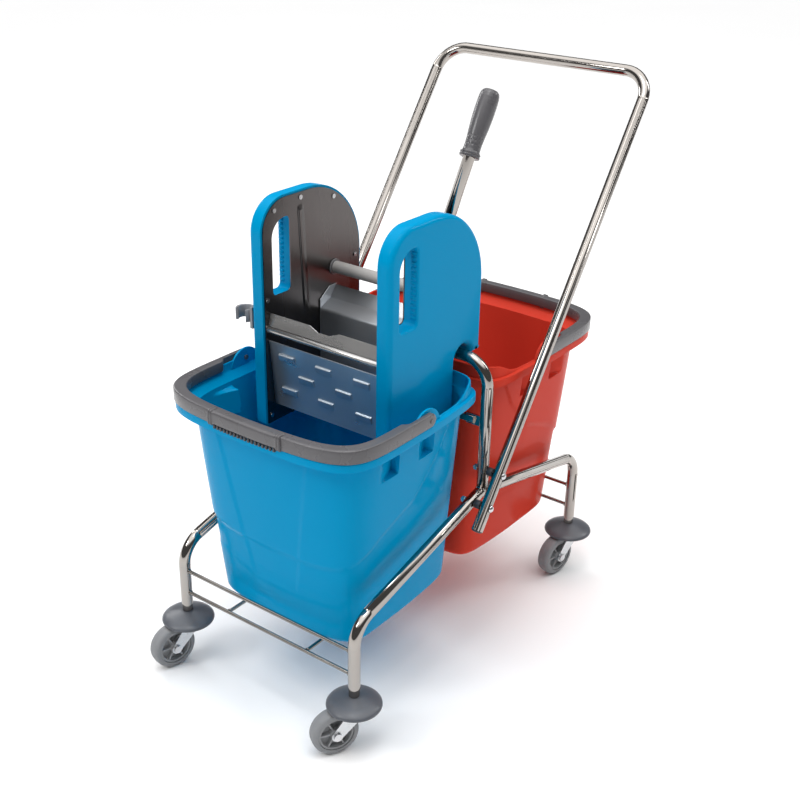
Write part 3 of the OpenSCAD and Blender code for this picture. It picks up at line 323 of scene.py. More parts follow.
fork_zinc = finish("fork_zinc", (0.72, 0.73, 0.74), (0.5, 0.51, 0.53), 45, (0.2, 0.36),
                   bump=0.08, fine=700, metal=1.0)
bumper_profile = [(6.75, 6.2), (7.3, 6.5), (9.5, 6.45), (13, 5.6), (17, 4.5), (22, 3.0), (28, 1.1),
                  (33, -0.7), (37, -2.6), (40, -4.4), (41.8, -6.0), (42.8, -7.6), (43, -9), (42.7, -10.1),
                  (42, -10.5), (41, -10.4), (40.4, -9.4), (39.8, -8), (36, -5), (28, -2.2), (20, -0.5),
                  (13, 0), (6.75, 0)]
tyre_half = np.array([(RIM_R + 0.3, 12), (RIM_R + 2.5, 12), (RIM_R + 4.4, 11.9), (34, 11.3), (35.6, 10.2),
                      (36.7, 8.4), (37.2, 6), (37.42, 3), (37.5, 0.7), (37.2, 0.3)])
tyre_profile = np.concatenate([tyre_half, (tyre_half * (1, -1))[::-1]])
sleeve_profile = [(6.6, 6.7), (8.0, 6.7), (8.5, 7.2), (8.5, 19.4), (8.0, 19.9), (6.6, 19.9)]
carry(tube_chrome, "caster_stems", edge=0.5)
for corner, (x, y, heading) in CORNERS.items():
    leg = Matrix.Translation((x, y, 0)) @ Matrix.Rotation(math.radians(heading), 4, "Z")
    points, faces = revolved(bumper_profile, 96)
    piece("bumper_disc_" + corner, placed(points + (0, 0, BUMPER_Z), leg), faces, caster_grey, "frame",
          "grey_plastic", ["bumper_" + corner])
    points, faces = revolved(sleeve_profile, 48)
    piece("stem_sleeve_" + corner, placed(points + (0, 0, BUMPER_Z), leg), faces, tube_chrome, "frame",
          "chrome_tube")
    axle = leg @ Matrix.Translation((TRAIL, 0, WHEEL_R)) @ Matrix.Rotation(math.radians(90), 4, "X")
    points, faces = revolved(tyre_profile[::-1], 96)
    piece("tread_" + corner, placed(points, axle), faces, tyre_grey, "wheel_" + corner, "tyre_rubber",
          ["tyre_" + corner])
    carry(fork_zinc, "fork_" + corner, edge=0.7)
    carry(bolt_zinc, "axle_" + corner, edge=0.6)
    carry(hub_grey, "hub_" + corner, edge=0.5)

# Buckets: two alike, set back to back over the rack, blue under the wringer and red behind it.
# Injection moulded polypropylene, 3 mm wall, with a turned-out flange, a raised lip beside the hoop,
# two pull pockets under the flange of each side, a dished front panel and ears for the bail pins.
BASE_Z, FLANGE_Z, FLANGE_H, FLANGE_OUT, WALL = 133.3, 484.3, 14.0, 7.0, 3.0
BASE_HALF, RIM_HALF, NECK_IN, NECK_BACK, NEAR_SWELL = 141.5, 183.0, 12.0, 17.0, 2.0
BASE_LEN, RIM_LEN, BASE_NEAR, RIM_NEAR, RIM_MID = 280.0, 337.0, 20.0, 15.0, 183.5
RIM_BOW, NEAR_TAPER, BASE_ROUND = 12.0, 0.06, 14.0
EAR_D, EAR_R, EAR_T, EAR_SINK = 167.0, 34.0, 4.0, 8.0
NEAR_POWER, FAR_POWER_LOW, FAR_POWER_TOP = 10, 9, 6
PANEL_PROUD, PANEL_STEP, SKIRT_PROUD, SKIRT_TOP, SOFT_STEP = 2.6, 7.0, 0.9, 222.0, 9.0
DISH_DEEP, DISH_FOOT, DISH_LOW, DISH_TOP = 1.6, 205.0, (214.0, 45.0), (404.0, 78.0)
POCKETS, POCKET_DEEP, POCKET_LOW, POCKET_TOP = ((216, 256), (126, 164)), 15.0, 418.0, 464.0
FINE_Z = 411.0


def mix(a, b, t):
    return a + (b - a) * t


def ease(t):
    t = np.clip(t, 0, 1)
    return t * t * (3 - 2 * t)


def outline(a, h, grow=0.0, neck=0.0):
    """Bucket plan at angles a and height share h: across, and away from the hoop; neck 1 gives the wall."""
    w = mix(BASE_HALF, RIM_HALF - neck * NECK_IN, h) + grow
    start = mix(BASE_NEAR, RIM_NEAR - neck * NEAR_SWELL, h)
    run = mix(BASE_LEN, RIM_LEN - neck * (NECK_BACK - NEAR_SWELL), h)
    l = run / 2 + grow
    n = np.where(np.sin(a) < 0, NEAR_POWER, mix(FAR_POWER_LOW, FAR_POWER_TOP, h))
    r = ((np.abs(np.cos(a)) / w) ** n + (np.abs(np.sin(a)) / l) ** n) ** (-1 / n)
    x, d = r * np.cos(a), r * np.sin(a)
    near, far = np.maximum(0, -d / l), np.maximum(0, d / l)
    bow = RIM_BOW * (1 - (x / w) ** 2) * far - RIM_BOW * far
    return x * (1 - NEAR_TAPER * near**1.5), start + run / 2 + d + bow


def rim_rise(d):
    """Height of the rim above the flange along the bucket."""
    t = (d - RIM_NEAR) / RIM_LEN
    return np.interp(t, [0, 0.05, 0.09, 0.16, 0.21, 0.35, 0.39, 0.43, 0.47, 1],
                     [20, 20, 17.5, 5.5, 2, 2, 3.6, 10.4, 12, 12])


PANEL_D = [0, 62, 82, 101, 133, 162, 205, 242, 290, 330, 360]
PANEL_Z = [520, 490, 446, 413, 379, 350, 333, 318, 288, 262, 256]


def moulding(x, d, z):
    """How far the wall stands out from its plain taper, in millimetres."""
    edge = np.interp(d, PANEL_D, PANEL_Z)
    panel = PANEL_PROUD * ease((z - edge) / PANEL_STEP + 0.5) - PANEL_PROUD
    front = ease((d - 270) / 40)
    half = mix(DISH_LOW[1], DISH_TOP[1], (z - DISH_LOW[0]) / (DISH_TOP[0] - DISH_LOW[0]))
    dish = -DISH_DEEP * front * ease((half - np.abs(x)) / SOFT_STEP + 0.5) * ease((z - DISH_FOOT) / 12)
    skirt = SKIRT_PROUD * ease((SKIRT_TOP + 0.05 * np.abs(x) - z) / SOFT_STEP + 0.5)
    pull = 0.0
    for deep, mouth in POCKETS:
        run = np.where(d > deep, (mouth - d) / (mouth - deep), 1 - (deep - d) / 2.5)
        tall = ease((z - POCKET_LOW) / 4) * ease((POCKET_TOP - z) / 4)
        pull = pull - POCKET_DEEP * np.clip(run, 0, 1) * tall * (np.abs(x) > 120)
    return panel + dish + skirt + pull


def bucket_shell(count=420):
    """Points and faces of one bucket, in its own frame: across, away from the hoop, up."""
    a = np.linspace(0, 2 * np.pi, count, endpoint=False)
    rows = []

    def row(z, grow, shaped=0.0, rim=None):
        h = (np.minimum(z, FLANGE_Z) - BASE_Z) / (FLANGE_Z - BASE_Z)
        x, d = outline(a, h if shaped else 1.0, grow, 1.0 if shaped else 0.0)
        if shaped:
            x, d = outline(a, h, grow + shaped * moulding(x, d, z), 1.0)
        height = np.full_like(x, z) if rim is None else FLANGE_Z + rim_rise(d) + rim
        rows.append(np.stack([x, d, height], 1))

    def base_row(t, inset):
        rise, back = BASE_ROUND * (1 - math.cos(t)), BASE_ROUND * (1 - math.sin(t))
        row(BASE_Z + inset + rise, -inset - back, 0.4 + 0.6 * t / bend[-1])

    bend = np.radians(np.linspace(0, 90, 9))
    for t in bend:
        base_row(t, 0)
    low, straight = FLANGE_Z - FLANGE_H, BASE_Z + BASE_ROUND
    for z in np.concatenate([np.linspace(straight, FINE_Z - 1, 66)[1:], np.linspace(FINE_Z, low - 1.5, 40)]):
        row(z, 0, 1.0)
    for grow, dz in ((-4.0, 0), (FLANGE_OUT - 1.6, 0), (FLANGE_OUT - 0.4, 0.5), (FLANGE_OUT, 1.8)):
        row(low + dz, grow)
    for grow, dz in ((FLANGE_OUT, -2.2), (FLANGE_OUT - 0.6, -0.7), (FLANGE_OUT - 2.0, 0), (1.4, 0)):
        row(FLANGE_Z + dz, grow)
    for grow, rim in ((0, -1.2), (-0.3, -0.45), (-0.9, 0), (-1.5, 0.08), (-2.1, 0), (-2.7, -0.45),
                      (-WALL, -1.2)):
        row(FLANGE_Z, grow, rim=rim)
    row(FLANGE_Z, -WALL)
    row(FLANGE_Z - 4.0, -WALL - 2.6)
    for z in np.concatenate([np.linspace(low + 1, FINE_Z, 34), np.linspace(FINE_Z - 1, straight + WALL, 50)]):
        row(z, -WALL, 1.0)
    for t in bend[::-1][1:]:
        base_row(t, WALL)
    return np.concatenate(rows), loft(len(rows), count)


def ear_disc(side):
    """Half-round ear on the rim, with a rounded edge."""
    x0, x1 = side * (RIM_HALF - EAR_T - 0.6), side * (RIM_HALF - 0.4)
    turn = np.radians(np.linspace(10, 170, 60))
    rings = ((x0, EAR_R - 1.4), (x0 + side * 0.5, EAR_R - 0.4), (x0 + side * 1.4, EAR_R),
             (x1 - side * 1.4, EAR_R), (x1 - side * 0.5, EAR_R - 0.4), (x1, EAR_R - 1.4))
    points = [(x, EAR_D + r * math.cos(t), FLANGE_Z - EAR_SINK + r * math.sin(t))
              for x, r in rings for t in turn]
    return np.array(points), loft(len(rings), len(turn), flip=side > 0)


TO_FRONT = Matrix.Translation((0, HOOP_Y, 0)) @ Matrix.Rotation(math.pi, 4, "Z")
TO_REAR = Matrix.Translation((0, HOOP_Y, 0))
blue_bucket = finish("blue_bucket", (0.0, 0.29, 0.56), (0.0, 0.272, 0.53), 7, (0.12, 0.2),
                     bump=0.04, fine=700, shine=0.04)
red_bucket = finish("red_bucket", (0.62, 0.05, 0.028), (0.575, 0.043, 0.025), 7, (0.12, 0.2),
                    bump=0.04, fine=700, shine=0.04)
points, faces = merged([bucket_shell(), ear_disc(-1), ear_disc(1)])
piece("blue_bucket_body", placed(points, TO_FRONT), faces, blue_bucket, "front_bucket", "blue_plastic",
      ["front_bucket"], even=True)
piece("red_bucket_body", placed(points, TO_REAR), faces, red_bucket, "rear_bucket", "red_plastic",
      ["rear_bucket"], even=True)

# Bails: the carrying handle of each bucket, an inverted U that lies round the rim from ear to ear.
# Moulded grey polypropylene, with a thicker hand grip between two collars, held by a moulded pin through each
# ear;
# under the grip a row of black rib blocks stands for painted shade in the gaps between the finger ribs.
BAIL_Z, BAIL_H, BAIL_IN, BAIL_OUT, BAIL_REACH, BAIL_TOP, BAIL_LIP = 484.7, 21.0, 0.4, 8.4, 7.6, 3.5, 488.0
BAIL_SOFT, BAIL_EDGE, BAIL_END, COVER_FROM, COVER_RUN = 2.2, 0.8, 9.2, 44.0, 14.0
GRIP_BACK, GRIP_FRONT = 347.0, 363.4
bail_grey = finish("bail_grey", (0.108, 0.104, 0.11), (0.088, 0.086, 0.092), 22, (0.22, 0.34),
                   bump=0.06, fine=900)
carry(bail_grey, "front_pivots", "rear_pivots", edge=0.6)


def bail_channel(stations=200):
    """The U section drawn along the rim, with round ends at the pivots."""
    middle = BAIL_Z + BAIL_H / 2
    start = math.atan2(EAR_D - BAIL_END - RIM_MID, RIM_HALF + BAIL_IN)
    pivot = math.atan2(EAR_D - RIM_MID, RIM_HALF + BAIL_IN)
    angles = np.concatenate([np.linspace(start, pivot, 12)[:-1],
                             np.linspace(pivot, math.pi - pivot, stations),
                             np.linspace(math.pi - pivot, math.pi - start, 12)[1:]])
    points = []
    for a in angles:
        d_mid = float(outline(np.array([a]), 1.0, BAIL_IN)[1][0])
        end = max(0.0, min(1.0, (EAR_D - d_mid) / (BAIL_END + 0.05)))
        half = BAIL_H / 2 * math.sqrt(max(0.03, 1 - end * end))
        low, high = middle - half, middle + half
        cover = float(ease((d_mid - EAR_D - COVER_FROM) / COVER_RUN))
        over = cover * (BAIL_REACH + BAIL_IN)
        inner = BAIL_IN - over
        r, s = BAIL_SOFT, BAIL_EDGE
        step = high - BAIL_TOP if over > 0.2 else high - 1.2
        lip = mix(step, BAIL_LIP, cover)
        back = inner + min(3.0, over / 2)
        section = [(BAIL_OUT - s, low), (BAIL_OUT - 0.2, low + 0.3), (BAIL_OUT, low + s),
                   (BAIL_OUT, (low + high) / 2), (BAIL_OUT, high - r), (BAIL_OUT - 0.3 * r, high - 0.3 * r),
                   (BAIL_OUT - r, high), (mix(inner, BAIL_OUT, 0.55), high), (mix(inner, BAIL_OUT, 0.3), high),
                   (inner + 1.2, high), (inner + 0.35, high - 0.35), (inner, high - 1.1), (inner, lip + 0.6),
                   (inner + 0.3, lip), (back - 0.3, lip), (back, lip + 0.5), (back, step),
                   (BAIL_IN, step - 0.2), (BAIL_IN, (low + step) / 2), (BAIL_IN, low + s),
                   (BAIL_IN + 0.2, low + 0.3), (BAIL_IN + s, low)]
        for grow, z in section:
            x, d = outline(np.array([a]), 1.0, grow)
            points.append((float(x[0]), float(d[0]), z))
    return np.array(points), loft(len(angles), len(section), flip=True)


def grip_loft():
    """Round-edged hand grip with two beads at each collar, drawn across the bucket."""
    stations = [(-70, -1.0), (-69.2, 0.9), (-68, 1.4), (-66.8, 0.9), (-66.2, 0.2), (-65.6, 0.2), (-65, 0.9),
                (-63.8, 1.4), (-62.6, 0.9), (-61.8, -0.4), (-59, -0.8)]
    stations += [(x, -0.8) for x in np.linspace(-55, 55, 23)]
    stations += [(-x, g) for x, g in stations[10::-1]]
    turn = np.linspace(0, 2 * np.pi, 40, endpoint=False)
    low, high = BAIL_Z - 1.2, BAIL_Z + BAIL_H + 0.6
    points = []
    for x, grow in stations:
        near = GRIP_BACK - RIM_BOW * (x / RIM_HALF) ** 2
        far = GRIP_FRONT - RIM_BOW * (x / RIM_HALF) ** 2
        for t in turn:
            c, s = math.cos(t), math.sin(t)
            d = (near + far) / 2 + ((far - near) / 2 + grow) * math.copysign(abs(c) ** 0.5, c)
            z = (low + high) / 2 + ((high - low) / 2 + grow) * math.copysign(abs(s) ** 0.5, s)
            points.append((x, d, z))
    return np.array(points), loft(len(stations), len(turn))


def rib_tree():
    """Row of small round-edged finger ribs, one on each point; given a black finish, they stand for the
    painted shade in the gaps under the grip.
    """
    tree, into, out = node_tree("finger_ribs_painted_shade", others=[("Rib size", "Vector")])
    link = tree.links.new
    block = tree.nodes.new("GeometryNodeMeshCube")
    for axis in ("Vertices X", "Vertices Y", "Vertices Z"):
        block.inputs[axis].default_value = 2
    link(into.outputs["Rib size"], block.inputs["Size"])
    soft = tree.nodes.new("GeometryNodeSubdivisionSurface")
    soft.inputs["Level"].default_value = 2
    soft.inputs["Edge Crease"].default_value = 0.6
    link(block.outputs["Mesh"], soft.inputs["Mesh"])
    spread = tree.nodes.new("GeometryNodeInstanceOnPoints")
    link(into.outputs["Geometry"], spread.inputs["Points"])
    link(soft.outputs["Mesh"], spread.inputs["Instance"])
    close_tree(tree, spread.outputs["Instances"], into, out)
    return tree


def dots_mesh(name, spots):
    """Bare points, in millimetres."""
    mesh = bpy.data.meshes.new(name)
    mesh.from_pydata([tuple(p) for p in np.asarray(spots, float) * MM], [], [])
    return mesh


finger_ribs_painted_shade = rib_tree()
rib_x = np.linspace(-58, 58, 18)
rib_spots = np.stack([rib_x, GRIP_FRONT - 3.0 - RIM_BOW * (rib_x / RIM_HALF) ** 2,
                      np.full_like(rib_x, BAIL_Z - 2.2)], 1)
points, faces = merged([bail_channel(), grip_loft()])
for place, bail, to in (("front", "front_bail", TO_FRONT), ("rear", "rear_bail", TO_REAR)):
    piece(place + "_bail_handle", placed(points, to), faces, bail_grey, bail, "grey_plastic", [bail],
          sharp=46)
    # The finger ribs take the black sleeve finish as painted shade: the dark gaps under the grip are shade,
    # not black plastic.
    grown(place + "_finger_ribs", dots_mesh(place + "_ribs", placed(rib_spots, to)), finger_ribs_painted_shade,
          {"Rib size": (3.8 * MM, 4.0 * MM, 6.4 * MM), "Finish": sleeve_black}, bail)

# Wringer sides: two hollow shells that hang on the hoop by the notch in their lower rear corner.
# Injection moulded polypropylene in the bucket's blue, 24 mm thick, with full round outer edges,
# a finger slot near the front and grip teeth down the slot's rear wall.
SHELL_X, SHELL_END, SHELL_ROUND = 110.2, 134.5, 8.5
SLOT_FRONT, SLOT_REAR, SLOT_LOW, SLOT_TOP = -173.0, -132.0, 90.0, 210.0
SLOT_SMALL, SLOT_LARGE, SLOT_SOFT = 8.0, 31.0, 4.0
shell_blue = finish("shell_blue", (0.0, 0.285, 0.55), (0.0, 0.268, 0.52), 6, (0.12, 0.18),
                    bump=0.04, fine=700, shine=0.04)


def arc(centre, r, a0, a1, n):
    t = np.radians(np.linspace(a0, a1, n))
    return [(centre[0] + r * math.cos(u), centre[1] + r * math.sin(u)) for u in t]


def panel_edge():
    """Side view of the panel about the hoop axis, running round it with the panel on the left."""
    edge = arc((-190.3, -118.6), 6, 180, 270, 6) + arc((-33.0, -120.6), 4, 270, 360, 5)
    edge += arc((-6.0, -3.5), 23.0, 180, 3.7, 25)
    edge += [(20, -2), (37.5, -2)] + arc((37.5, 0.5), 2.5, 270, 360, 4)[1:]
    edge += [(40, 40), (40, 80)] + arc((-86, 118), 126, 0, 90, 40) + [(-110, 244)]
    edge += arc((-142.3, 190), 54, 90, 180, 24) + [(-196.3, 150), (-196.3, 60), (-196.3, -40)]
    return np.array(edge)


def slot_edge():
    """Side view of the finger slot: straight rear wall, large round corner at the front top."""
    small, large = SLOT_SMALL, SLOT_LARGE
    low, high = SLOT_LOW + small, SLOT_TOP - small
    edge = arc((SLOT_FRONT + small, low), small, 180, 270, 7)
    edge += arc((SLOT_REAR - small, low), small, 270, 360, 7)
    edge += arc((SLOT_REAR - small, high), small, 0, 90, 7)
    edge += arc((SLOT_FRONT + large, SLOT_TOP - large), large, 90, 180, 18)
    return np.array(edge)


def offset(edge, by):
    """A closed outline moved sideways to its right by that much, with mitred corners."""
    back, ahead = np.roll(edge, 1, 0), np.roll(edge, -1, 0)

    def normal(p, q):
        t = q - p
        t = t / np.maximum(np.linalg.norm(t, axis=1, keepdims=True), 1e-9)
        return np.stack([t[:, 1], -t[:, 0]], 1)

    m, n = normal(back, edge), normal(edge, ahead)
    both = m + n
    return edge + by * both / np.maximum(1 + np.sum(m * n, 1, keepdims=True), 0.35)


def shell_panel(side):
    """Points and faces of one shell: rounded outer edge, plain inner edge, the slot right through."""
    edge, slot = panel_edge(), slot_edge()
    bend = np.radians(np.linspace(0, 90, 10))
    skin = [(SHELL_X, -1.0), (SHELL_X + 0.3, -0.3), (SHELL_X + 1.0, 0.0)]
    skin += [(SHELL_END - SHELL_ROUND * (1 - math.sin(t)), -SHELL_ROUND * (1 - math.cos(t))) for t in bend]
    hole = [(SHELL_X, 0.8), (SHELL_X + 0.8, 0.0)]
    hole += [(SHELL_END - SLOT_SOFT * (1 - math.sin(t)), SLOT_SOFT * (1 - math.cos(t))) for t in bend]
    points, faces = [], []
    for line, rows, out in ((edge, skin, True), (slot, hole, False)):
        faces += loft(len(rows), len(line), flip=out != (side > 0), ends=False, first=len(points))
        for x, by in rows:
            points += [(side * x, HOOP_Y + v, HOOP_Z + w) for v, w in offset(line, by)]
    n, m = len(edge), len(slot)
    base = n * len(skin)
    for k, s, up in ((0, 0, False), (len(skin) - 1, len(hole) - 1, True)):
        ids = list(range(k * n, k * n + n)) + list(range(base + s * m, base + s * m + m))
        flat = [[Vector((points[i][1], points[i][2], 0)) for i in ids[:n]],
                [Vector((points[i][1], points[i][2], 0)) for i in ids[n:]]]
        for tri in tessellate_polygon(flat):
            p, q, r = ((flat[0] + flat[1])[i] for i in tri)
            turn = (q - p).cross(r - p).z
            face = tuple(ids[i] for i in tri)
            faces.append(face if (turn > 0) == (up == (side > 0)) else face[::-1])
    return np.array(points), faces


def tooth_tree():
    """Round grip teeth across the thickness of a shell, one on each point."""
    tree, into, out = node_tree("slot_teeth", ("Tooth radius", "Tooth length"))
    link = tree.links.new
    rod = tree.nodes.new("GeometryNodeMeshCylinder")
    rod.inputs["Vertices"].default_value = 16
    link(into.outputs["Tooth radius"], rod.inputs["Radius"])
    link(into.outputs["Tooth length"], rod.inputs["Depth"])
    lay = tree.nodes.new("GeometryNodeTransform")
    lay.inputs["Rotation"].default_value = (0, math.pi / 2, 0)
    link(rod.outputs["Mesh"], lay.inputs["Geometry"])
    spread = tree.nodes.new("GeometryNodeInstanceOnPoints")
    link(into.outputs["Geometry"], spread.inputs["Points"])
    link(lay.outputs["Geometry"], spread.inputs["Instance"])
    close_tree(tree, spread.outputs["Instances"], into, out)
    return tree


slot_teeth = tooth_tree()
tooth_w = np.linspace(102, 200, 14)
for side, place in ((-1, "left"), (1, "right")):
    points, faces = shell_panel(side)
    piece(place + "_side_shell", points, faces, shell_blue, "wringer", "blue_plastic", [place + "_shell"],
          even=True)
    spots = np.stack([np.full_like(tooth_w, side * (SHELL_END - 7.5)),
                      np.full_like(tooth_w, HOOP_Y + SLOT_REAR + 0.6), HOOP_Z + tooth_w], 1)
    grown(place + "_slot_teeth", dots_mesh(place + "_teeth", spots), slot_teeth,
          {"Tooth radius": 2.4 * MM, "Tooth length": 8 * MM, "Finish": shell_blue}, "wringer")

# Wringer liners: a flat sheet inside each shell, held by six pop rivets, with a crease behind the slot.
# Bare cold rolled steel, 1.5 mm, dull and faintly streaked from the mill.
CREASE_TOP, CREASE_LOW = (-107.5, 222.0), (-96.0, 39.0)
liner_steel = finish("liner_steel", (0.15, 0.138, 0.135), (0.085, 0.079, 0.078), 16, (0.2, 0.34),
                     stretch=(1, 1, 0.12), bump=0.05, fine=500, metal=1.0)


def add_crease(coat):
    """Raises a soft vertical ridge on the liner by a bump that follows the line of the pressing."""
    tree = coat.node_tree
    link = tree.links.new
    shader = tree.nodes["Principled BSDF"]
    where = tree.nodes.new("ShaderNodeTexCoord")
    split = tree.nodes.new("ShaderNodeSeparateXYZ")
    link(where.outputs["Object"], split.inputs["Vector"])

    def ranged(value, a0, a1, b0, b1, smooth=False):
        node = tree.nodes.new("ShaderNodeMapRange")
        node.interpolation_type = "SMOOTHSTEP" if smooth else "LINEAR"
        for key, number in (("From Min", a0), ("From Max", a1), ("To Min", b0), ("To Max", b1)):
            node.inputs[key].default_value = number
        link(value, node.inputs["Value"])
        return node.outputs["Result"]

    def maths(kind, a, b=None):
        node = tree.nodes.new("ShaderNodeMath")
        node.operation = kind
        link(a, node.inputs[0])
        if b is not None:
            link(b, node.inputs[1])
        return node.outputs["Value"]

    z_low, z_top = (HOOP_Z + CREASE_LOW[1]) * MM, (HOOP_Z + CREASE_TOP[1]) * MM
    y_low, y_top = (HOOP_Y + CREASE_LOW[0]) * MM, (HOOP_Y + CREASE_TOP[0]) * MM
    middle = ranged(split.outputs["Z"], z_low, z_top, y_low, y_top)
    away = maths("ABSOLUTE", maths("SUBTRACT", split.outputs["Y"], middle))
    ridge = ranged(away, 0.002, 0.008, 1.0, 0.0, True)
    ends = maths("MULTIPLY", ranged(split.outputs["Z"], z_low, z_low + 0.04, 0.0, 1.0, True),
                 ranged(split.outputs["Z"], z_top - 0.012, z_top, 1.0, 0.0, True))
    relief = tree.nodes.new("ShaderNodeBump")
    relief.inputs["Strength"].default_value = 1.0
    relief.inputs["Distance"].default_value = 0.003
    link(maths("MULTIPLY", ridge, ends), relief.inputs["Height"])
    fine = shader.inputs["Normal"].links[0].from_node
    link(fine.outputs["Normal"], relief.inputs["Normal"])
    link(relief.outputs["Normal"], shader.inputs["Normal"])


add_crease(liner_steel)
carry(liner_steel, "left_liner", "right_liner")


def rivet_tree():
    """Domed rivet heads, one on each point, flat across the liner."""
    tree, into, out = node_tree("rivet_heads", ("Head radius", "Head height"))
    link = tree.links.new
    ball = tree.nodes.new("GeometryNodeMeshUVSphere")
    ball.inputs["Segments"].default_value = 20
    ball.inputs["Rings"].default_value = 12
    ball.inputs["Radius"].default_value = 1.0
    size = tree.nodes.new("ShaderNodeCombineXYZ")
    link(into.outputs["Head height"], size.inputs["X"])
    link(into.outputs["Head radius"], size.inputs["Y"])
    link(into.outputs["Head radius"], size.inputs["Z"])
    spread = tree.nodes.new("GeometryNodeInstanceOnPoints")
    link(into.outputs["Geometry"], spread.inputs["Points"])
    link(ball.outputs["Mesh"], spread.inputs["Instance"])
    link(size.outputs["Vector"], spread.inputs["Scale"])
    close_tree(tree, spread.outputs["Instances"], into, out)
    return tree


rivet_heads = rivet_tree()
LINER_X = 108.5
RIVETS = [(-184.3, -107.8), (-186.3, 87), (-166.69, 224.2), (-107, 232), (-28.66, 216.5), (25, 107)]
rivet_spots = [(side * (LINER_X - 0.1), HOOP_Y + v, HOOP_Z + w) for side in (-1, 1) for v, w in RIVETS]
rivet_bright = finish("rivet_bright", (0.5, 0.5, 0.51), (0.36, 0.36, 0.37), 300, (0.12, 0.24),
                      metal=1.0, bump=0.04)
grown("rivet_domes", dots_mesh("rivet_domes", rivet_spots), rivet_heads,
      {"Head radius": 3.7 * MM, "Head height": 1.5 * MM, "Finish": rivet_bright}, "wringer")
carry(rivet_bright, "liner_rivets", edge=0.3)

# Press plate, guard strip and tie bars: what the mop is squeezed against, between the two sides.
# Pressed galvanised sheet with three rows of raised bars, a strip with a shallow dip, two steel rods.
PLATE_HALF, PLATE_TOP, PLATE_LOW, PLATE_T = 108.3, (-185.0, 21.0), (-174.0, -90.0), 2.0
plate_zinc = finish("plate_zinc", (0.6, 0.66, 0.72), (0.46, 0.51, 0.56), 20, (0.26, 0.38),
                    stretch=(0.5, 1, 1), bump=0.05, fine=420, metal=0.8)
strip_zinc = finish("strip_zinc", (0.5, 0.49, 0.48), (0.36, 0.355, 0.35), 26, (0.2, 0.32),
                    stretch=(0.25, 1, 1), bump=0.06, fine=420, metal=0.85)
carry(strip_zinc, "lip_plate", "tie_bar", "lower_tie_rod", edge=0.4)


def bar_tree():
    """Raised bars of the press plate: a rounded ridge that slopes away below, one on each point."""
    tree, into, out = node_tree("raised_bars", ("Lean",), [("Bar", "Object")])
    link = tree.links.new
    shape = tree.nodes.new("GeometryNodeObjectInfo")
    link(into.outputs["Bar"], shape.inputs["Object"])
    tilt = tree.nodes.new("ShaderNodeCombineXYZ")
    link(into.outputs["Lean"], tilt.inputs["X"])
    spread = tree.nodes.new("GeometryNodeInstanceOnPoints")
    link(into.outputs["Geometry"], spread.inputs["Points"])
    link(shape.outputs["Geometry"], spread.inputs["Instance"])
    link(tilt.outputs["Vector"], spread.inputs["Rotation"])
    close_tree(tree, spread.outputs["Instances"], into, out)
    return tree


def raised_bar():
    """One pressed louvre, 31 mm long: round top edge, flat face that sinks a little, short drop below."""
    us = np.concatenate([np.linspace(-17, -14, 9), np.linspace(-13, 13, 14), np.linspace(14, 17, 9)])
    ws = np.concatenate([np.linspace(-7, -4.6, 9), np.linspace(-4, 3.6, 9), np.linspace(4, 7, 16)])
    points, faces = [], []
    for w in ws:
        high = np.interp(w, [-6, -5, 4, 5, 5.6, 6], [0, 2.4, 3.6, 3.15, 2.2, 0])
        for u in us:
            points.append((u * MM, (0.4 - high * float(ease((15.9 - abs(u)) / 1.5))) * MM, w * MM))
    n = len(us)
    for k in range(len(ws) - 1):
        for i in range(n - 1):
            faces.append((k * n + i, k * n + i + 1, (k + 1) * n + i + 1, (k + 1) * n + i))
    mesh = bpy.data.meshes.new("raised_bar")
    mesh.from_pydata(points, [], faces)
    return bpy.data.objects.new("raised_bar", mesh)


along = np.array(PLATE_LOW) - np.array(PLATE_TOP)
plate_lean = math.atan2(along[0], -along[1])
out_front = np.array([-math.cos(plate_lean), -math.sin(plate_lean)])
bar_spots = []
for share, xs in ((0.2, (-74, 0, 74)), (0.46, (-37, 37)), (0.72, (-74, 0, 74))):
    v, w = np.array(PLATE_TOP) + share * along + out_front * (PLATE_T / 2)
    bar_spots += [(x, HOOP_Y + v, HOOP_Z + w) for x in xs]
bar_shape = raised_bar()
grown("plate_bars", dots_mesh("plate_bars", bar_spots), bar_tree(),
      {"Lean": plate_lean, "Bar": bar_shape, "Finish": plate_zinc}, "wringer")
bpy.data.objects.remove(bar_shape)


def bent_sheet(path, half, thick, radius=4.0):
    """A sheet bent along a side view path, its corners rounded, from side to side."""
    path = [np.array(p, float) for p in path]
    line = [path[0]]
    for before, at, after in zip(path, path[1:], path[2:]):
        back, ahead = before - at, after - at
        back, ahead = back / np.linalg.norm(back), ahead / np.linalg.norm(ahead)
        fold = math.acos(float(np.clip(back @ ahead, -1, 1)))
        reach = radius / math.tan(fold / 2)
        p, q = at + back * reach, at + ahead * reach
        for t in np.linspace(0, 1, 9):
            line.append((1 - t) ** 2 * p + 2 * t * (1 - t) * at + t * t * q)
    line.append(path[-1])
    line = np.array(line)
    way = np.gradient(line, axis=0)
    way /= np.linalg.norm(way, axis=1, keepdims=True)
    side_way = np.stack([way[:, 1], -way[:, 0]], 1)
    r = thick / 2
    ring = np.concatenate([line + r * side_way, (line - r * side_way)[::-1]])
    points = []
    for x, shrink in ((-half, 0.8), (-half + 0.3, 1.0), (half - 0.3, 1.0), (half, 0.8)):
        middle = np.concatenate([line, line[::-1]])
        section = middle + (ring - middle) * shrink
        points += [(x, HOOP_Y + v, HOOP_Z + w) for v, w in section]
    n = len(ring)
    faces = loft(4, n, flip=True, ends=False)
    for k, turn in ((0, False), (3, True)):
        for i in range(n // 2 - 1):
            face = (k * n + i, k * n + i + 1, k * n + n - 2 - i, k * n + n - 1 - i)
            faces.append(face[::-1] if turn else face)
    return np.array(points), faces


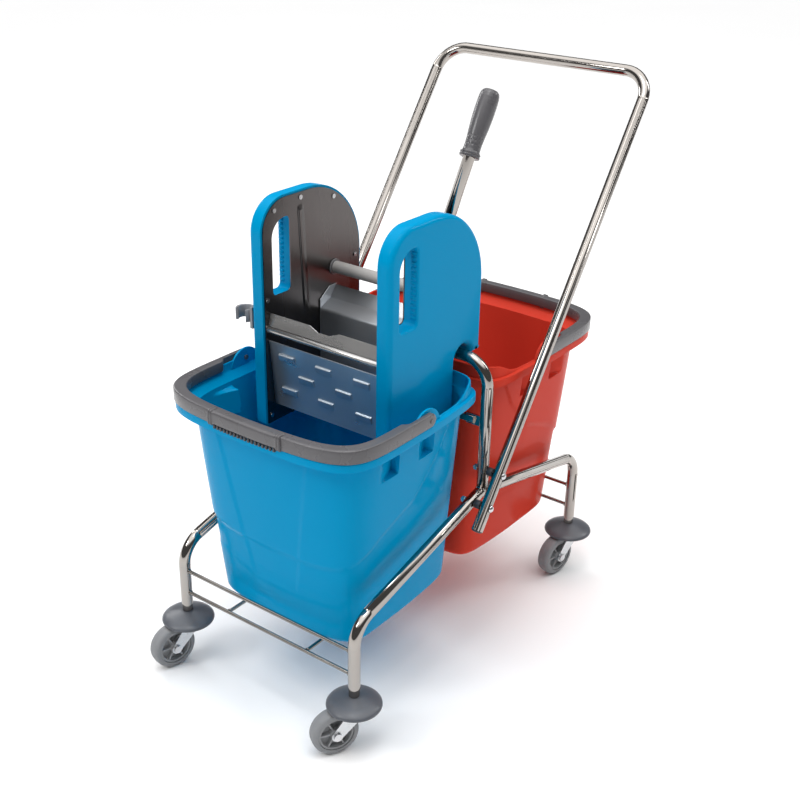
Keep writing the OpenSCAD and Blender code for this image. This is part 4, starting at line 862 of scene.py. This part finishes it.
points, faces = bent_sheet([PLATE_TOP, np.array(PLATE_TOP) + 0.5 * along, PLATE_LOW], PLATE_HALF, PLATE_T)
piece("press_plate_sheet", points, faces, plate_zinc, "wringer", "chrome_sheet", ["press_plate"])

# Shaft bearings and mop clip: what the shells carry.
# Turned grey nylon flanges for the press shaft, and a springy grey ring screwed to the left shell.
nylon_grey = finish("nylon_grey", (0.17, 0.168, 0.172), (0.13, 0.13, 0.134), 80, (0.32, 0.45),
                    bump=0.06, fine=1100)
carry(nylon_grey, "shaft_bushes", edge=0.6)
clip_grey = finish("clip_grey", (0.27, 0.27, 0.285), (0.22, 0.22, 0.23), 80, (0.3, 0.42),
                   bump=0.06, fine=1100)
carry(clip_grey, "mop_clip", edge=1.2)
carry(rivet_bright, "clip_screw", edge=0.4)

# Press: the cross shaft, the lever tube with its hand grip, and the bent jaw on two arms.
# Grey enamelled shaft, bright chromed lever, moulded grip, jaw and end cheeks of galvanised sheet.
SHAFT_V, SHAFT_W, LEVER_X, LEVER_LEAN = -27.5, 99.7, 70.8, math.radians(30.3)
LEVER_LEN, GRIP_LEN, GRIP_TURNS, GRIP_WIDER, GRIP_LONGER, GRIP_DROP = 322.0, 103.0, 96, 1.17, 1.06, 3
DIMPLES_FROM, DIMPLES_TO = 14, 32
JAW_HALF, JAW_T = 105.8, 2.0
JAW_PATH = [(-40, -95), (-65, -95), (-65, 39), (-40, 50), (-26, 69)]
shaft_enamel = finish("shaft_enamel", (0.44, 0.425, 0.41), (0.36, 0.35, 0.34), 40, (0.32, 0.46),
                      bump=0.08, fine=600)
jaw_zinc = finish("jaw_zinc", (0.5, 0.52, 0.545), (0.34, 0.355, 0.375), 18, (0.28, 0.42),
                  stretch=(0.4, 1, 1), bump=0.06, fine=420, metal=0.75)
carry(shaft_enamel, "lever_shaft", edge=0.6)
carry(tube_chrome, "lever_tube")
carry(jaw_zinc, "jaw_cheeks", "drive_arms", edge=0.5)
carry(rivet_bright, "jaw_rivets", edge=0.4)
points, faces = bent_sheet(JAW_PATH, JAW_HALF, JAW_T, radius=5.0)
piece("jaw_sheet", points, faces, jaw_zinc, "press", "zinc_steel", ["press_jaw"])


def dimple_tree():
    """Presses rows of shallow round dimples into the grip, staggered from row to row."""
    tree, into, out = node_tree("grip_dimples", ("Depth", "Rows", "Around"))
    link = tree.links.new

    def attribute(name):
        node = tree.nodes.new("GeometryNodeInputNamedAttribute")
        node.data_type = "FLOAT"
        node.inputs["Name"].default_value = name
        return node.outputs["Attribute"]

    def maths(kind, a, b=None):
        node = tree.nodes.new("ShaderNodeMath")
        node.operation = kind
        for socket, value in zip(node.inputs, (a, b)):
            if isinstance(value, (int, float)):
                socket.default_value = value
            elif value is not None:
                link(value, socket)
        return node.outputs["Value"]

    row = maths("MULTIPLY", attribute("along"), into.outputs["Rows"])
    column = maths("MULTIPLY", attribute("around"), into.outputs["Around"])
    stagger = maths("MULTIPLY", maths("FLOORED_MODULO", maths("FLOOR", row), 2.0), 0.5)
    du = maths("SUBTRACT", maths("FRACT", maths("ADD", column, stagger)), 0.5)
    dv = maths("SUBTRACT", maths("FRACT", row), 0.5)
    near = maths("SUBTRACT", 1.0, maths("MULTIPLY", maths("ADD", maths("MULTIPLY", du, du),
                                                           maths("MULTIPLY", dv, dv)), 9.0))
    push = maths("MULTIPLY", maths("MAXIMUM", near, 0.0), maths("MULTIPLY", into.outputs["Depth"], -1.0))
    push = maths("MULTIPLY", push, attribute("dimpled"))
    normal = tree.nodes.new("GeometryNodeInputNormal")
    way = tree.nodes.new("ShaderNodeVectorMath")
    way.operation = "SCALE"
    link(normal.outputs["Normal"], way.inputs[0])
    link(push, way.inputs["Scale"])
    move = tree.nodes.new("GeometryNodeSetPosition")
    link(into.outputs["Geometry"], move.inputs["Geometry"])
    link(way.outputs["Vector"], move.inputs["Offset"])
    close_tree(tree, move.outputs["Geometry"], into, out)
    return tree


grip_start = LEVER_LEN - GRIP_LEN
grip_line = np.array([(9.6, 0), (12.6, 0), (13.6, 0.5), (14, 1.6), (14, 3), (13.4, 3.8), (13.0, 4.2),
                      (13.4, 4.6), (14, 5.4), (14, 6.6), (13.4, 7.6), (12.4, 8.4), (11.8, 9.6), (11.5, 12),
                      (11.4, 18), (11.6, 26), (12.2, 34), (13.0, 44), (13.6, 54), (13.9, 64), (14, 74),
                      (13.9, 84), (13.6, 91), (12.9, 96), (11.6, 99.4), (9.4, 101.6), (6, 102.7),
                      (2.5, 103), (0.02, 103)])
grip_line[1:, 0] *= GRIP_WIDER
grip_line[:, 1] = grip_line[:, 1] * GRIP_LONGER - GRIP_DROP
steps = np.concatenate([[0], np.cumsum(np.linalg.norm(np.diff(grip_line, axis=0), axis=1))])
fine = np.unique(np.concatenate([steps, np.linspace(0, steps[-1], 190)]))
grip_line = np.stack([np.interp(fine, steps, grip_line[:, i]) for i in (0, 1)], 1)
points, faces = revolved(grip_line + (0, grip_start), GRIP_TURNS, closed=False)
to_lever = Matrix.Translation((LEVER_X, HOOP_Y + SHAFT_V, HOOP_Z + SHAFT_W))
to_lever = to_lever @ Matrix.Rotation(-LEVER_LEAN, 4, "X")
mesh = bpy.data.meshes.new("lever_handgrip")
mesh.from_pydata([tuple(p) for p in placed(points, to_lever) * MM], [], faces)
height = np.tile(grip_line[:, 1], GRIP_TURNS)
values = {"along": height / GRIP_LEN,
          "around": np.repeat(np.arange(GRIP_TURNS) / GRIP_TURNS, len(grip_line)),
          "dimpled": ((height > DIMPLES_FROM) & (height < DIMPLES_TO)).astype(float)}
for label, numbers in values.items():
    mesh.attributes.new(label, "FLOAT", "POINT").data.foreach_set("value", numbers.astype(np.float32))
grown("lever_handgrip", mesh, dimple_tree(),
      {"Depth": 0.5 * MM, "Rows": 16.0, "Around": 14.0, "Finish": bail_grey}, "press",
      ["lever_grip"])

# Studio: a wide pale floor, soft boxes overhead, left, behind and in front, and a dim room round them.
# The camera sees the room pale, so that only what shines shows how dark it is.
FLOOR_HALF, FLOOR_Z = 40, -0.0005
ROOM_DARK, ROOM_PALE = (0.055, 0.055, 0.055, 1), (0.49, 0.49, 0.49, 1)
floor_pale = finish("floor_pale", (0.96, 0.96, 0.96), (0.945, 0.945, 0.945), 0.6, (0.7, 0.85), shine=0.2)
mesh = bpy.data.meshes.new("floor")
corners = [(x * FLOOR_HALF, y * FLOOR_HALF, FLOOR_Z) for x, y in ((-1, -1), (1, -1), (1, 1), (-1, 1))]
mesh.from_pydata(corners, [], [(0, 1, 2, 3)])
mesh.materials.append(floor_pale)
floor = bpy.data.objects.new("floor", mesh)
bpy.context.scene.collection.objects.link(floor)


def soft_box(name, at, aim, size, power):
    lamp = bpy.data.lights.new(name, "AREA")
    lamp.shape = "RECTANGLE"
    lamp.size, lamp.size_y = size
    lamp.energy = power
    obj = bpy.data.objects.new(name, lamp)
    obj.location = at
    obj.rotation_euler = (Vector(aim) - Vector(at)).to_track_quat("-Z", "Y").to_euler()
    bpy.context.scene.collection.objects.link(obj)


soft_box("box_top", (0.3, -0.5, 3.4), (0, 0, 0.3), (1.2, 1.2), 22)
soft_box("box_left", (-2.9, 0.4, 1.9), (0, 0, 0.4), (0.5, 1.6), 22)
soft_box("box_back", (1.6, 2.6, 2.4), (0, 0, 0.4), (0.5, 1.6), 18)
soft_box("box_front", (-1.2, -2.6, 2.6), (0, 0, 0.4), (0.8, 0.8), 26)
world = bpy.data.worlds.new("room")
bpy.context.scene.world = world
world.use_nodes = True
tree = world.node_tree
sky = tree.nodes["Background"]
where = tree.nodes.new("ShaderNodeTexCoord")
split = tree.nodes.new("ShaderNodeSeparateXYZ")
ramp = tree.nodes.new("ShaderNodeValToRGB")
ramp.color_ramp.elements[0].position = 0.0
ramp.color_ramp.elements[0].color = ROOM_DARK
ramp.color_ramp.elements[1].position = 0.8
ramp.color_ramp.elements[1].color = (1, 1, 1, 1)
ramp.color_ramp.elements.new(0.6).color = ROOM_DARK
tree.links.new(where.outputs["Generated"], split.inputs["Vector"])
tree.links.new(split.outputs["Z"], ramp.inputs["Fac"])
path = tree.nodes.new("ShaderNodeLightPath")
shown = tree.nodes.new("ShaderNodeMix")
shown.data_type = "RGBA"
shown.inputs["B"].default_value = ROOM_PALE
tree.links.new(path.outputs["Is Camera Ray"], shown.inputs["Factor"])
tree.links.new(ramp.outputs["Color"], shown.inputs["A"])
tree.links.new(shown.outputs["Result"], sky.inputs["Color"])
sky.inputs["Strength"].default_value = 2.0
bpy.context.scene.view_settings.view_transform = "Standard"

yaw, pitch, roll = (math.radians(t) for t in (36.64, 25.56, 1.05))
back = Vector((math.sin(yaw) * math.cos(pitch), -math.cos(yaw) * math.cos(pitch), math.sin(pitch)))
right = (-back).cross(Vector((0, 0, 1))).normalized()
up = right.cross(-back)
right, up = math.cos(roll) * right + math.sin(roll) * up, math.cos(roll) * up - math.sin(roll) * right
eye = bpy.data.cameras.new("eye")
eye.lens, eye.sensor_width = 54.80, 36.0
camera = bpy.data.objects.new("eye", eye)
camera.matrix_world = Matrix((right, up, back)).transposed().to_4x4()
camera.location = (1.0938, -1.4693, 1.2812)
bpy.context.scene.collection.objects.link(camera)
bpy.context.scene.camera = camera
